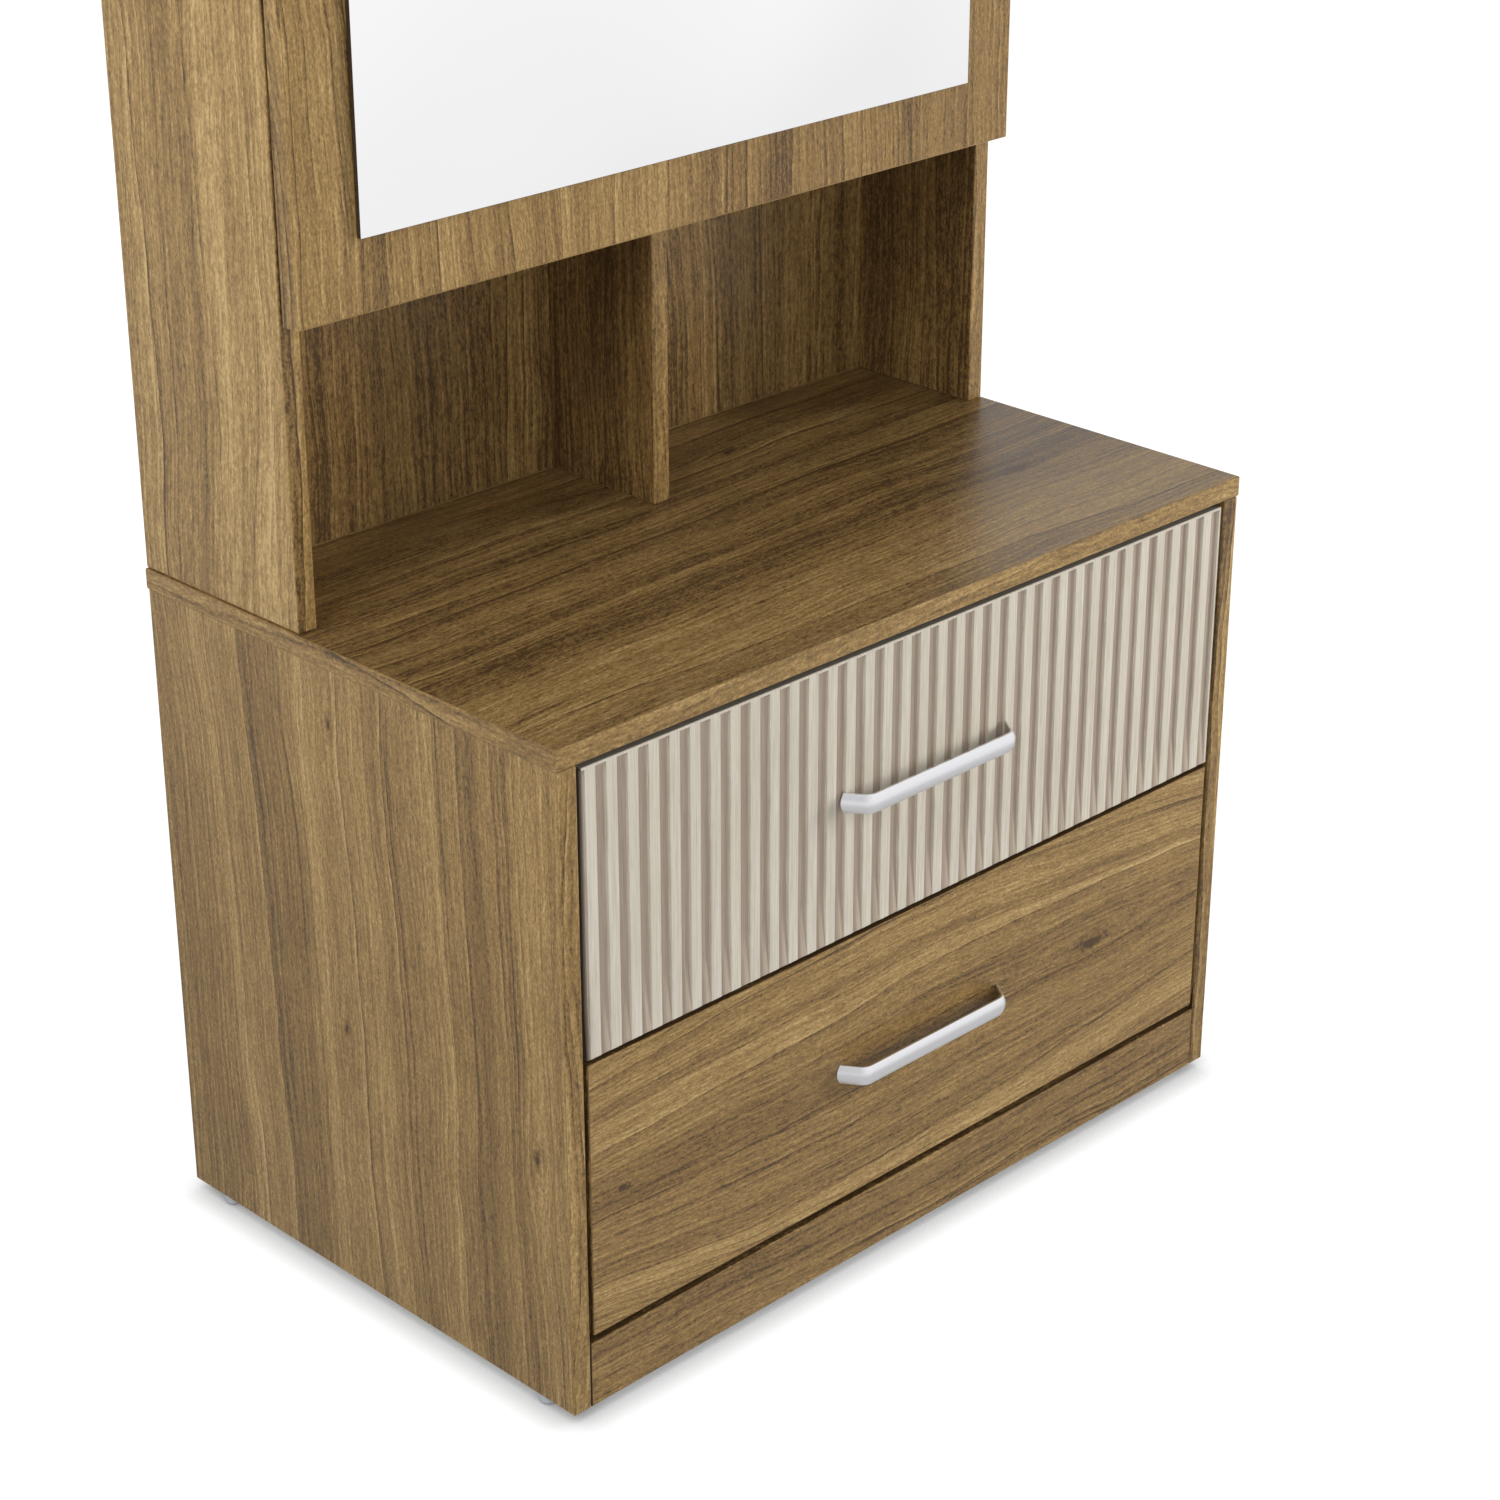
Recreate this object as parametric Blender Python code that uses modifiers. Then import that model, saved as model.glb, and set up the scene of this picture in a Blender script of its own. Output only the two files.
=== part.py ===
"""A dresser: a base with two drawers, and a mirror cabinet standing on the rear of its top.

Metres, +Z up. The front faces -Y. The origin is on the floor at the centre of the footprint,
handles included. Each drawer runs on a pair of telescopic slides, and the mirror door turns on
three butt hinges at its right edge.
"""

import math

import bmesh
import bpy
from mathutils import Vector

# Boards and clearances
BODY_WIDTH = 0.800
BODY_DEPTH = 0.500
BOARD = 0.018
EDGE_ROUND = 0.0012
SEAM = 0.0003
OVERRUN = 0.005
GROOVE_DEPTH = 0.007
TOP_OVERHANG = 0.002

# Base: plinth, drawer fronts and the shadow gaps round them
PLINTH_HEIGHT = 0.060
DRAWER_FRONT_HEIGHT = 0.246
GAP_SIDE = 0.004
GAP_TOP = 0.004
GAP_BETWEEN = 0.004
GAP_PLINTH = 0.006
BACK_PANEL = 0.006
BACK_INSET = 0.012

# Glides under the side panels
GLIDE_RADIUS = 0.008
GLIDE_HEIGHT = 0.009
GLIDE_ROUND = 0.002
GLIDE_INSET = 0.042

# Fluting of the upper drawer front
FLUTE_PITCH = 0.0214
FLUTE_GROOVE = 0.0107
FLUTE_DEPTH = 0.0025
FLUTE_MARGIN = 0.004
FLUTE_RIM = 0.002
FLUTE_LEAST = 0.001

# Drawer boxes
BOX_BOARD = 0.015
BOX_HEIGHT = 0.190
REAR_CLEAR = 0.012
BOX_LIFT = 0.014
BOX_BOTTOM = 0.006
BOX_BOTTOM_RISE = 0.012
BOX_ROUND = 0.0008

# Telescopic slides: three nested rolled members a side
SLIDE_SPACE = 0.013
SLIDE_HEIGHT = 0.045
SLIDE_SETBACK = 0.002
SLIDE_RISE = 0.075
SLIDE_WALL = 0.0012
SLIDE_MEMBER_GAP = 0.0009
SLIDE_OUTER_BALLS = 0.0046
SLIDE_INNER_BALLS = 0.0036
SLIDE_OUTER_FLANGE = 0.0082
SLIDE_MIDDLE_FLANGE = 0.0076
SLIDE_OUTER_LIP = 0.0026
SLIDE_MIDDLE_LIP = 0.0016
SLIDE_BEND = 0.0014

# Strap handles: a bar crowned on its outer face, on two splayed legs
HANDLE_LENGTH = 0.204
HANDLE_REACH = 0.0215
HANDLE_HEIGHT = 0.017
HANDLE_EDGE = 0.002
HANDLE_CROWN = 0.0028
HANDLE_BEND = 0.010
HANDLE_SPLAY_DEGREES = 34
HANDLE_BEND_STEPS = 6
HANDLE_CROWN_STEPS = 8

# Hutch: the upper cabinet with its open niche
HUTCH_HEIGHT = 1.200
HUTCH_DEPTH = 0.200
NICHE_DEPTH = 0.140
NICHE_HEIGHT = 0.252
HUTCH_BACK = 0.008
DIVIDER_SETBACK = 0.010
SHELF_SETBACK = 0.015
SHELF_COUNT = 2
RAIL_HEIGHT = 0.080

# Mirror door
DOOR_DROP = 0.002
MIRROR_MARGIN = 0.060
MIRROR_GLASS = 0.005
MIRROR_ROUND = 0.0008

# Butt hinges: two stamped leaves whose ends curl round a pin
HINGE_COUNT = 3
HINGE_LENGTH = 0.070
HINGE_INSET = 0.0014
HINGE_END = 0.180
LEAF_WALL = 0.0009
LEAF_GAP = 0.0004
LEAF_WIDTH = 0.0135
CURL_RADIUS = 0.0023
CURL_DEGREES = 320
CURL_STEPS = 14
CURL_CLEAR = 0.0006
KNUCKLES = 5
KNUCKLE_GAP = 0.0005
PIN_RADIUS = 0.0016
RECESS_CLEAR = 0.0006

# Magnetic catch under the hutch top, and its strike plate on the door
CATCH_LENGTH = 0.046
CATCH_DEPTH = 0.018
CATCH_HEIGHT = 0.014
CATCH_INSET = 0.040
CATCH_ROUND = 0.0010
STRIKE_PLATE = 0.001
STRIKE_LENGTH = 0.038
STRIKE_HEIGHT = 0.012

# Levels, from the floor up
SIDE_LOW = GLIDE_HEIGHT
PLINTH_HIGH = SIDE_LOW + PLINTH_HEIGHT
LOWER_FRONT_LOW = PLINTH_HIGH + GAP_PLINTH
LOWER_FRONT_HIGH = LOWER_FRONT_LOW + DRAWER_FRONT_HEIGHT
UPPER_FRONT_LOW = LOWER_FRONT_HIGH + GAP_BETWEEN
UPPER_FRONT_HIGH = UPPER_FRONT_LOW + DRAWER_FRONT_HEIGHT
SIDE_HIGH = UPPER_FRONT_HIGH + GAP_TOP
TOP_LOW = SIDE_HIGH + SEAM
TOP_HIGH = TOP_LOW + BOARD
HUTCH_LOW = TOP_HIGH + SEAM
HUTCH_HIGH = HUTCH_LOW + HUTCH_HEIGHT
NICHE_HIGH = TOP_HIGH + NICHE_HEIGHT
DOOR_LOW = NICHE_HIGH - DOOR_DROP
CEILING = HUTCH_HIGH - BOARD

# Depths, from the front back
FRONT = (HANDLE_REACH + SEAM - BODY_DEPTH) / 2
REAR = FRONT + BODY_DEPTH
BOARD_BACK = FRONT + BOARD
HUTCH_FRONT = REAR - HUTCH_DEPTH
NICHE_BACK = HUTCH_FRONT + NICHE_DEPTH
DOOR_GAP = 2 * (SEAM + LEAF_WALL) + LEAF_GAP
DOOR_BACK = HUTCH_FRONT - DOOR_GAP
DOOR_FRONT = DOOR_BACK - BOARD
BACK_LOW = REAR - BACK_INSET - BACK_PANEL
BOX_REAR = BACK_LOW - REAR_CLEAR
SLIDE_FRONT = BOARD_BACK + SLIDE_SETBACK

# Half widths
HALF = BODY_WIDTH / 2
INSIDE = HALF - BOARD
FRONT_HALF = INSIDE - GAP_SIDE
BOX_HALF = INSIDE - SLIDE_SPACE

# The door's axis: on the middle of the gap behind it, just inside its right edge
HINGE_AXIS = Vector((HALF - HINGE_INSET, HUTCH_FRONT - DOOR_GAP / 2, DOOR_LOW))

# Name: colour, roughness, metallic
FINISHES = {
    "walnut_laminate": ((0.300, 0.205, 0.110), 0.45, 0.0),
    "cream_laminate": ((0.590, 0.545, 0.470), 0.50, 0.0),
    "box_laminate": ((0.780, 0.765, 0.730), 0.50, 0.0),
    "satin_metal": ((0.800, 0.800, 0.815), 0.35, 0.6),
    "zinc_steel": ((0.620, 0.630, 0.640), 0.35, 1.0),
    "mirror": ((0.900, 0.910, 0.915), 0.02, 1.0),
    "grey_plastic": ((0.560, 0.570, 0.590), 0.45, 0.0),
    "catch_plastic": ((0.240, 0.150, 0.085), 0.50, 0.0),
}


def collection(name):
    group = bpy.data.collections.new(name)
    bpy.context.scene.collection.children.link(group)
    return group


def finish(name):
    """The Principled material of a finish, made when it is first asked for."""
    found = bpy.data.materials.get(name)
    if found:
        return found
    colour, roughness, metallic = FINISHES[name]
    material = bpy.data.materials.new(name)
    material.use_nodes = True
    shader = material.node_tree.nodes["Principled BSDF"]
    shader.inputs["Base Color"].default_value = (*colour, 1)
    shader.inputs["Roughness"].default_value = roughness
    shader.inputs["Metallic"].default_value = metallic
    return material


def carrier(name, place):
    """An empty on a joint's axis, which the pieces that move together hang from."""
    empty = bpy.data.objects.new(name, None)
    empty.location = place
    PARTS.objects.link(empty)
    return empty


def piece(name, mesh, look, place, parent=None):
    """A sub-part at a place in the world, hung from its carrier if it moves."""
    obj = bpy.data.objects.new(name, mesh)
    obj.parent = parent
    obj.location = Vector(place) - (parent.location if parent else Vector())
    mesh.materials.append(finish(look))
    PARTS.objects.link(obj)
    return obj


def helper(name, mesh, place):
    """A cutter: drawn as wire and left out of the render."""
    obj = bpy.data.objects.new(name, mesh)
    obj.location = place
    obj.hide_render = True
    obj.display_type = "WIRE"
    CUTTERS.objects.link(obj)
    return obj


def mesh_from(form, name):
    mesh = bpy.data.meshes.new(name)
    form.to_mesh(mesh)
    form.free()
    return mesh


def boxes(name, corners):
    """One mesh that holds a box for each (low, high) pair of corners."""
    form = bmesh.new()
    for low, high in corners:
        low, high = Vector(low), Vector(high)
        made = bmesh.ops.create_cube(form, size=1)["verts"]
        bmesh.ops.scale(form, vec=high - low, verts=made)
        bmesh.ops.translate(form, vec=(low + high) / 2, verts=made)
    return mesh_from(form, name)


def soften(obj, width, segments=2):
    bevel = obj.modifiers.new("soft_edges", "BEVEL")
    bevel.width = width
    bevel.segments = segments
    bevel.limit_method = "ANGLE"


def board(name, low, high, look, parent=None, soft=EDGE_ROUND):
    """A rectangular board between two corners, its edges softened."""
    low, high = Vector(low), Vector(high)
    half = (high - low) / 2
    obj = piece(name, boxes(name, [(-half, half)]), look, low + half, parent)
    if soft:
        soften(obj, soft)
    return obj


def cut(obj, cutter):
    boolean = obj.modifiers.new("cut_by_" + cutter.name, "BOOLEAN")
    boolean.operation = "DIFFERENCE"
    boolean.solver = "EXACT"
    boolean.object = cutter


def cut_boxes(obj, name, corners):
    cut(obj, helper(name, boxes(name, corners), Vector()))


def rod(name, radius, low, high, segments):
    """A round bar along Z as a mesh about its own middle, and that middle."""
    form = bmesh.new()
    length = (high - low).length
    bmesh.ops.create_cone(
        form, cap_ends=True, segments=segments, radius1=radius, radius2=radius, depth=length
    )
    return mesh_from(form, name), (low + high) / 2


def rolled(name, line, along, wall, look, place, parent=None):
    """Sheet metal: an open line of points drawn out along a direction, thickened to its wall."""
    form = bmesh.new()
    row = [form.verts.new(point) for point in line]
    edges = [form.edges.new(pair) for pair in zip(row, row[1:])]
    drawn = bmesh.ops.extrude_edge_only(form, edges=edges)["geom"]
    moved = [item for item in drawn if isinstance(item, bmesh.types.BMVert)]
    bmesh.ops.translate(form, vec=along, verts=moved)
    obj = piece(name, mesh_from(form, name), look, place, parent)
    thick = obj.modifiers.new("sheet", "SOLIDIFY")
    thick.thickness = wall
    thick.offset = 0
    thick.use_even_offset = True
    return obj


def turned(name, profile, look, place, steps=24):
    """A turned piece from (radius, height) points that run down its outer side."""
    form = bmesh.new()
    row = [form.verts.new((radius, 0, height)) for radius, height in profile]
    for pair in zip(row, row[1:]):
        form.edges.new(pair)
    obj = piece(name, mesh_from(form, name), look, place)
    screw = obj.modifiers.new("turned", "SCREW")
    screw.steps = screw.render_steps = steps
    screw.use_merge_vertices = True
    screw.merge_threshold = 0.00001
    screw.use_smooth_shade = True
    return obj


def base_cabinet():
    """Side panels, top, bottom, plinth and back of the base."""
    rear_groove = (BACK_LOW - SEAM, BACK_LOW + BACK_PANEL + SEAM)
    for side, word in ((-1, "left"), (1, "right")):
        inner, outer = sorted((side * INSIDE, side * HALF))
        panel = board(
            "base_side_" + word, (inner, FRONT, SIDE_LOW), (outer, REAR, SIDE_HIGH), "walnut_laminate"
        )
        ends = sorted((side * (INSIDE - OVERRUN), side * (INSIDE + GROOVE_DEPTH)))
        low = (ends[0], rear_groove[0], SIDE_LOW - OVERRUN)
        high = (ends[1], rear_groove[1], SIDE_HIGH + OVERRUN)
        cut_boxes(panel, "base_groove_" + word, [(low, high)])
    wide = HALF + TOP_OVERHANG
    board("base_top", (-wide, FRONT, TOP_LOW), (wide, REAR, TOP_HIGH), "walnut_laminate")
    inside = INSIDE - SEAM
    board(
        "base_bottom",
        (-inside, BOARD_BACK + SEAM, PLINTH_HIGH - BOARD),
        (inside, BACK_LOW - SEAM, PLINTH_HIGH),
        "walnut_laminate",
    )
    board("plinth_front", (-inside, FRONT, SIDE_LOW), (inside, BOARD_BACK, PLINTH_HIGH), "walnut_laminate")
    board(
        "plinth_rear",
        (-inside, BACK_LOW - SEAM - BOARD, SIDE_LOW),
        (inside, BACK_LOW - SEAM, PLINTH_HIGH - BOARD - SEAM),
        "walnut_laminate",
    )
    in_groove = INSIDE + GROOVE_DEPTH - SEAM
    board(
        "base_back_panel",
        (-in_groove, BACK_LOW, SIDE_LOW),
        (in_groove, BACK_LOW + BACK_PANEL, SIDE_HIGH),
        "walnut_laminate",
        soft=0,
    )


def glides():
    """Four round glides under the bottom edges of the side panels."""
    top = GLIDE_HEIGHT - SEAM
    profile = (
        (0, top),
        (GLIDE_RADIUS, top),
        (GLIDE_RADIUS, GLIDE_ROUND),
        (GLIDE_RADIUS - GLIDE_ROUND * (1 - math.sqrt(1 / 2)), GLIDE_ROUND * (1 - math.sqrt(1 / 2))),
        (GLIDE_RADIUS - GLIDE_ROUND, 0),
        (0, 0),
    )
    for end, y in (("front", FRONT + GLIDE_INSET), ("rear", REAR - GLIDE_INSET)):
        for word, x in (("left", BOARD / 2 - HALF), ("right", HALF - BOARD / 2)):
            turned(f"glide_{end}_{word}", profile, "grey_plastic", (x, y, 0))


def flute(front, low, high):
    """Vertical grooves routed into the face of a drawer front, closed by a rim at its top edge."""
    first = FLUTE_MARGIN - FRONT_HALF
    count = math.floor((2 * FRONT_HALF - FLUTE_MARGIN - FLUTE_LEAST) / FLUTE_PITCH)
    spans = [(-FRONT_HALF - OVERRUN, first)]
    for number in range(1, count + 1):
        right = first + number * FLUTE_PITCH
        spans.append((right - FLUTE_GROOVE, right))
    y_low, y_high = FRONT - OVERRUN, FRONT + FLUTE_DEPTH
    corners = [
        ((left, y_low, low - OVERRUN), (right, y_high, high - FLUTE_RIM)) for left, right in spans
    ]
    cut_boxes(front, "flutes", corners)


def handle_line():
    """Plan of a handle along the strap's inner face, from foot to foot, about the bar's middle.

    The right half is a bar, an arc and a splayed leg that runs on behind the face it stands on.
    """
    splay = math.radians(HANDLE_SPLAY_DEGREES)
    thick = HANDLE_EDGE + HANDLE_CROWN
    bar = thick - HANDLE_REACH
    foot = HANDLE_LENGTH / 2 - thick / math.cos(splay)
    leg = -bar - HANDLE_BEND * (1 - math.sin(splay))
    half_bar = foot - leg * math.tan(splay) - HANDLE_BEND * math.cos(splay)
    half = []
    for step in range(HANDLE_BEND_STEPS + 1):
        turn = (math.pi / 2 - splay) * step / HANDLE_BEND_STEPS
        half.append((half_bar + HANDLE_BEND * math.sin(turn), bar + HANDLE_BEND * (1 - math.cos(turn))))
    half.append((foot + OVERRUN * math.tan(splay), OVERRUN))
    return [(-x, y) for x, y in reversed(half)] + half


def handle_section():
    """Section of the strap: flat inside, and a parabola across its outer face."""
    half = HANDLE_HEIGHT / 2
    outer = []
    for step in range(HANDLE_CROWN_STEPS + 1):
        share = 2 * step / HANDLE_CROWN_STEPS - 1
        outer.append((HANDLE_EDGE + HANDLE_CROWN * (1 - share * share), share * half))
    return outer + [(0, half), (0, -half)]


def poly_curve(name, points, closed):
    curve = bpy.data.curves.new(name, "CURVE")
    curve.dimensions = "2D"
    curve.fill_mode = "NONE"
    spline = curve.splines.new("POLY")
    spline.points.add(len(points) - 1)
    for point, (x, y) in zip(spline.points, points):
        point.co = (x, y, 0, 1)
    spline.use_cyclic_u = closed
    return curve


def handle(name, middle, parent):
    """A strap handle bent from one section, its feet cut flat on the drawer front."""
    section = bpy.data.objects.new(name + "_section", poly_curve(name, handle_section(), True))
    sweep = poly_curve(name, handle_line(), False)
    sweep.bevel_mode = "OBJECT"
    sweep.bevel_object = section
    sweep.use_fill_caps = True
    bent = bpy.data.objects.new(name + "_sweep", sweep)
    CUTTERS.objects.link(section)
    CUTTERS.objects.link(bent)
    mesh = bpy.data.meshes.new_from_object(bent.evaluated_get(bpy.context.evaluated_depsgraph_get()))
    form = bmesh.new()
    form.from_mesh(mesh)
    bmesh.ops.remove_doubles(form, verts=form.verts, dist=0.00001)
    bmesh.ops.recalc_face_normals(form, faces=form.faces)
    form.to_mesh(mesh)
    form.free()
    mesh.materials.clear()
    for done in (bent, section):
        bpy.data.objects.remove(done, do_unlink=True)
    obj = piece(name, mesh, "satin_metal", middle, parent)
    half = Vector((HANDLE_LENGTH, 0, HANDLE_HEIGHT))
    low = Vector((middle[0], FRONT - SEAM, middle[2])) - half
    high = Vector((middle[0], FRONT + 2 * OVERRUN, middle[2])) + half
    cut_boxes(obj, name + "_feet", [(low, high)])
    mesh.shade_smooth()
    mesh.set_sharp_from_angle(angle=math.radians(40))
    return obj


def slide_lines(side, middle_height):
    """Section lines of the outer, middle and inner members, as points in X and Z.

    Each is a channel with its web upright. The outer and middle ones open towards the drawer and
    have lips at their mouths, and the inner one opens towards the cabinet. The space between two
    flanges is the diameter of the balls that run there.
    """
    outer_web = SEAM + SLIDE_WALL / 2
    middle_web = outer_web + SLIDE_WALL + SLIDE_MEMBER_GAP
    inner_web = SLIDE_SPACE - SEAM - SLIDE_WALL / 2
    outer_half = (SLIDE_HEIGHT - SLIDE_WALL) / 2
    middle_half = outer_half - SLIDE_WALL - SLIDE_OUTER_BALLS
    inner_half = middle_half - SLIDE_WALL - SLIDE_INNER_BALLS
    inner_mouth = middle_web + SLIDE_WALL + SLIDE_MEMBER_GAP

    def channel(web, mouth, half, lip):
        bend = SLIDE_BEND if mouth > web else -SLIDE_BEND
        upper = [(mouth, half), (web + bend, half), (web, half - SLIDE_BEND)]
        if lip:
            upper.insert(0, (mouth, half - lip))
        line = upper + [(out, -up) for out, up in reversed(upper)]
        return [Vector((side * (out - INSIDE), 0, middle_height + up)) for out, up in line]

    return {
        "outer": channel(outer_web, outer_web + SLIDE_OUTER_FLANGE, outer_half, SLIDE_OUTER_LIP),
        "middle": channel(middle_web, middle_web + SLIDE_MIDDLE_FLANGE, middle_half, SLIDE_MIDDLE_LIP),
        "inner": channel(inner_web, inner_mouth, inner_half, 0),
    }


def slides(level, box_low, drawer, middle):
    """The telescopic slides of one drawer: each member goes on the body that carries it."""
    along = Vector((0, BOX_REAR - SLIDE_FRONT, 0))
    place = Vector((0, SLIDE_FRONT, box_low + SLIDE_RISE))
    carriers = {"outer": None, "middle": middle, "inner": drawer}
    for side, word in ((1, "left"), (-1, "right")):
        for member, line in slide_lines(side, 0).items():
            rolled(
                f"{level}_slide_{member}_{word}", line, along, SLIDE_WALL, "zinc_steel", place, carriers[member]
            )


def drawer(level, front_low, look):
    """A drawer: its front, box, handle and slides. It slides out along -Y."""
    front_high = front_low + DRAWER_FRONT_HEIGHT
    middle_height = (front_low + front_high) / 2
    moving = carrier(level + "_drawer", (0, FRONT, middle_height))
    between = carrier(level + "_slide_middle", (0, FRONT, middle_height))
    box_low = front_low + BOX_LIFT
    box_high = box_low + BOX_HEIGHT
    box_front = BOARD_BACK + SEAM
    bottom_low = box_low + BOX_BOTTOM_RISE
    bottom_high = bottom_low + BOX_BOTTOM
    inside = BOX_HALF - BOX_BOARD
    in_groove = inside + GROOVE_DEPTH - SEAM
    start = level + "_drawer_"

    front = board(
        start + "front", (-FRONT_HALF, FRONT, front_low), (FRONT_HALF, BOARD_BACK, front_high), look, moving
    )
    if look == "cream_laminate":
        flute(front, front_low, front_high)
    groove = (
        (-in_groove - SEAM, BOARD_BACK - GROOVE_DEPTH, bottom_low - SEAM),
        (in_groove + SEAM, BOARD_BACK + OVERRUN, bottom_high + SEAM),
    )
    cut_boxes(front, start + "front_groove", [groove])

    for side, word in ((-1, "left"), (1, "right")):
        ends = sorted((side * inside, side * BOX_HALF))
        low, high = (ends[0], box_front, box_low), (ends[1], BOX_REAR, box_high)
        panel = board(start + "side_" + word, low, high, "box_laminate", moving, BOX_ROUND)
        ends = sorted((side * (inside - OVERRUN), side * (inside + GROOVE_DEPTH)))
        low = (ends[0], box_front - OVERRUN, bottom_low - SEAM)
        high = (ends[1], BOX_REAR + OVERRUN, bottom_high + SEAM)
        cut_boxes(panel, start + "groove_" + word, [(low, high)])

    board(
        start + "back",
        (SEAM - inside, BOX_REAR - BOX_BOARD, bottom_high + SEAM),
        (inside - SEAM, BOX_REAR, box_high),
        "box_laminate",
        moving,
        BOX_ROUND,
    )
    board(
        start + "bottom",
        (-in_groove, BOARD_BACK - GROOVE_DEPTH + SEAM, bottom_low),
        (in_groove, BOX_REAR, bottom_high),
        "box_laminate",
        moving,
        0,
    )
    handle(start + "handle", (0, FRONT - SEAM, middle_height), moving)
    slides(level, box_low, moving, between)


def hutch():
    """The cabinet on the rear of the top: sides, top, floor, divider, shelves, back and rail."""
    groove = (NICHE_BACK - SEAM, NICHE_BACK + HUTCH_BACK + SEAM)
    for side, word in ((-1, "left"), (1, "right")):
        ends = sorted((side * INSIDE, side * HALF))
        low, high = (ends[0], HUTCH_FRONT, HUTCH_LOW), (ends[1], REAR, HUTCH_HIGH)
        panel = board("hutch_side_" + word, low, high, "walnut_laminate")
        ends = sorted((side * (INSIDE - OVERRUN), side * (INSIDE + GROOVE_DEPTH)))
        low = (ends[0], groove[0], HUTCH_LOW - OVERRUN)
        high = (ends[1], groove[1], CEILING)
        cut_boxes(panel, "hutch_groove_" + word, [(low, high)])
        if word == "right":
            recess_hinges(panel)
    inside = INSIDE - SEAM
    rear = NICHE_BACK - SEAM
    board("hutch_top", (-inside, HUTCH_FRONT, CEILING), (inside, REAR, HUTCH_HIGH), "walnut_laminate")
    floor_high = NICHE_HIGH + BOARD
    board("hutch_floor", (-inside, HUTCH_FRONT, NICHE_HIGH), (inside, rear, floor_high), "walnut_laminate")
    board(
        "hutch_divider",
        (-BOARD / 2, HUTCH_FRONT + DIVIDER_SETBACK, HUTCH_LOW),
        (BOARD / 2, rear, NICHE_HIGH - SEAM),
        "walnut_laminate",
    )
    bay = (CEILING - floor_high - SHELF_COUNT * BOARD) / (SHELF_COUNT + 1)
    for number in range(SHELF_COUNT):
        low = floor_high + bay + number * (bay + BOARD)
        board(
            f"hutch_shelf_{number + 1}",
            (-inside, HUTCH_FRONT + SHELF_SETBACK, low),
            (inside, rear, low + BOARD),
            "walnut_laminate",
        )
    in_groove = INSIDE + GROOVE_DEPTH - SEAM
    board(
        "hutch_back_panel",
        (-in_groove, NICHE_BACK, HUTCH_LOW),
        (in_groove, NICHE_BACK + HUTCH_BACK, CEILING - SEAM),
        "walnut_laminate",
        soft=0,
    )
    board(
        "hutch_hang_rail",
        (-inside, REAR - BOARD, CEILING - SEAM - RAIL_HEIGHT),
        (inside, REAR, CEILING - SEAM),
        "walnut_laminate",
    )


def hinge_levels():
    """Height of the low end of each hinge, evenly spaced between the first and the last."""
    first = DOOR_LOW + HINGE_END - HINGE_LENGTH / 2
    last = HUTCH_HIGH - HINGE_END - HINGE_LENGTH / 2
    return [first + (last - first) * number / (HINGE_COUNT - 1) for number in range(HINGE_COUNT)]


def recess_hinges(panel):
    """Round recesses in a panel's edge that give the hinge knuckles room."""
    radius = CURL_RADIUS + LEAF_WALL / 2 + RECESS_CLEAR
    for number, low in enumerate(hinge_levels()):
        name = f"{panel.name}_hinge_recess_{number + 1}"
        bottom = HINGE_AXIS.copy()
        bottom.z = low - RECESS_CLEAR
        top = HINGE_AXIS.copy()
        top.z = low + HINGE_LENGTH + RECESS_CLEAR
        mesh, centre = rod(name, radius, bottom, top, 24)
        cut(panel, helper(name, mesh, centre))


def leaf_line(side):
    """Plan of a hinge leaf about the axis: a flat strip, then an arc round the pin.

    side is 1 for the leaf on the cabinet, behind the axis, and -1 for the leaf on the door.
    """
    offset = (LEAF_GAP + LEAF_WALL) / 2
    start = math.pi - math.asin(offset / CURL_RADIUS)
    line = [(-LEAF_WIDTH, offset)]
    for step in range(CURL_STEPS + 1):
        turn = start - math.radians(CURL_DEGREES) * step / CURL_STEPS
        line.append((CURL_RADIUS * math.cos(turn), CURL_RADIUS * math.sin(turn)))
    return [Vector((x, side * y, 0)) for x, y in line]


def hinge(number, low, door):
    """A butt hinge: the cabinet's leaf has the odd knuckles, the door's leaf the even ones."""
    place = HINGE_AXIS.copy()
    place.z = low
    knuckle = HINGE_LENGTH / KNUCKLES
    reach = CURL_RADIUS + LEAF_WALL / 2 + CURL_CLEAR
    for word, side, taken, parent in (("fixed", 1, 1, None), ("moving", -1, 0, door)):
        name = f"hinge_leaf_{word}_{number}"
        along = Vector((0, 0, HINGE_LENGTH))
        leaf = rolled(name, leaf_line(side), along, LEAF_WALL, "zinc_steel", place, parent)
        corners = []
        for step in range(taken, KNUCKLES, 2):
            ends = [low + step * knuckle - KNUCKLE_GAP / 2, low + (step + 1) * knuckle + KNUCKLE_GAP / 2]
            if step == 0:
                ends[0] -= OVERRUN
            if step == KNUCKLES - 1:
                ends[1] += OVERRUN
            corners.append(
                (
                    (place.x - reach, place.y - OVERRUN, ends[0]),
                    (place.x + OVERRUN, place.y + OVERRUN, ends[1]),
                )
            )
        cut_boxes(leaf, name + "_knuckles", corners)
    top = place + Vector((0, 0, HINGE_LENGTH))
    mesh, centre = rod(f"hinge_pin_{number}", PIN_RADIUS, place, top, 16)
    mesh.shade_smooth()
    mesh.set_sharp_from_angle(angle=math.radians(40))
    piece(f"hinge_pin_{number}", mesh, "zinc_steel", centre)


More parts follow.
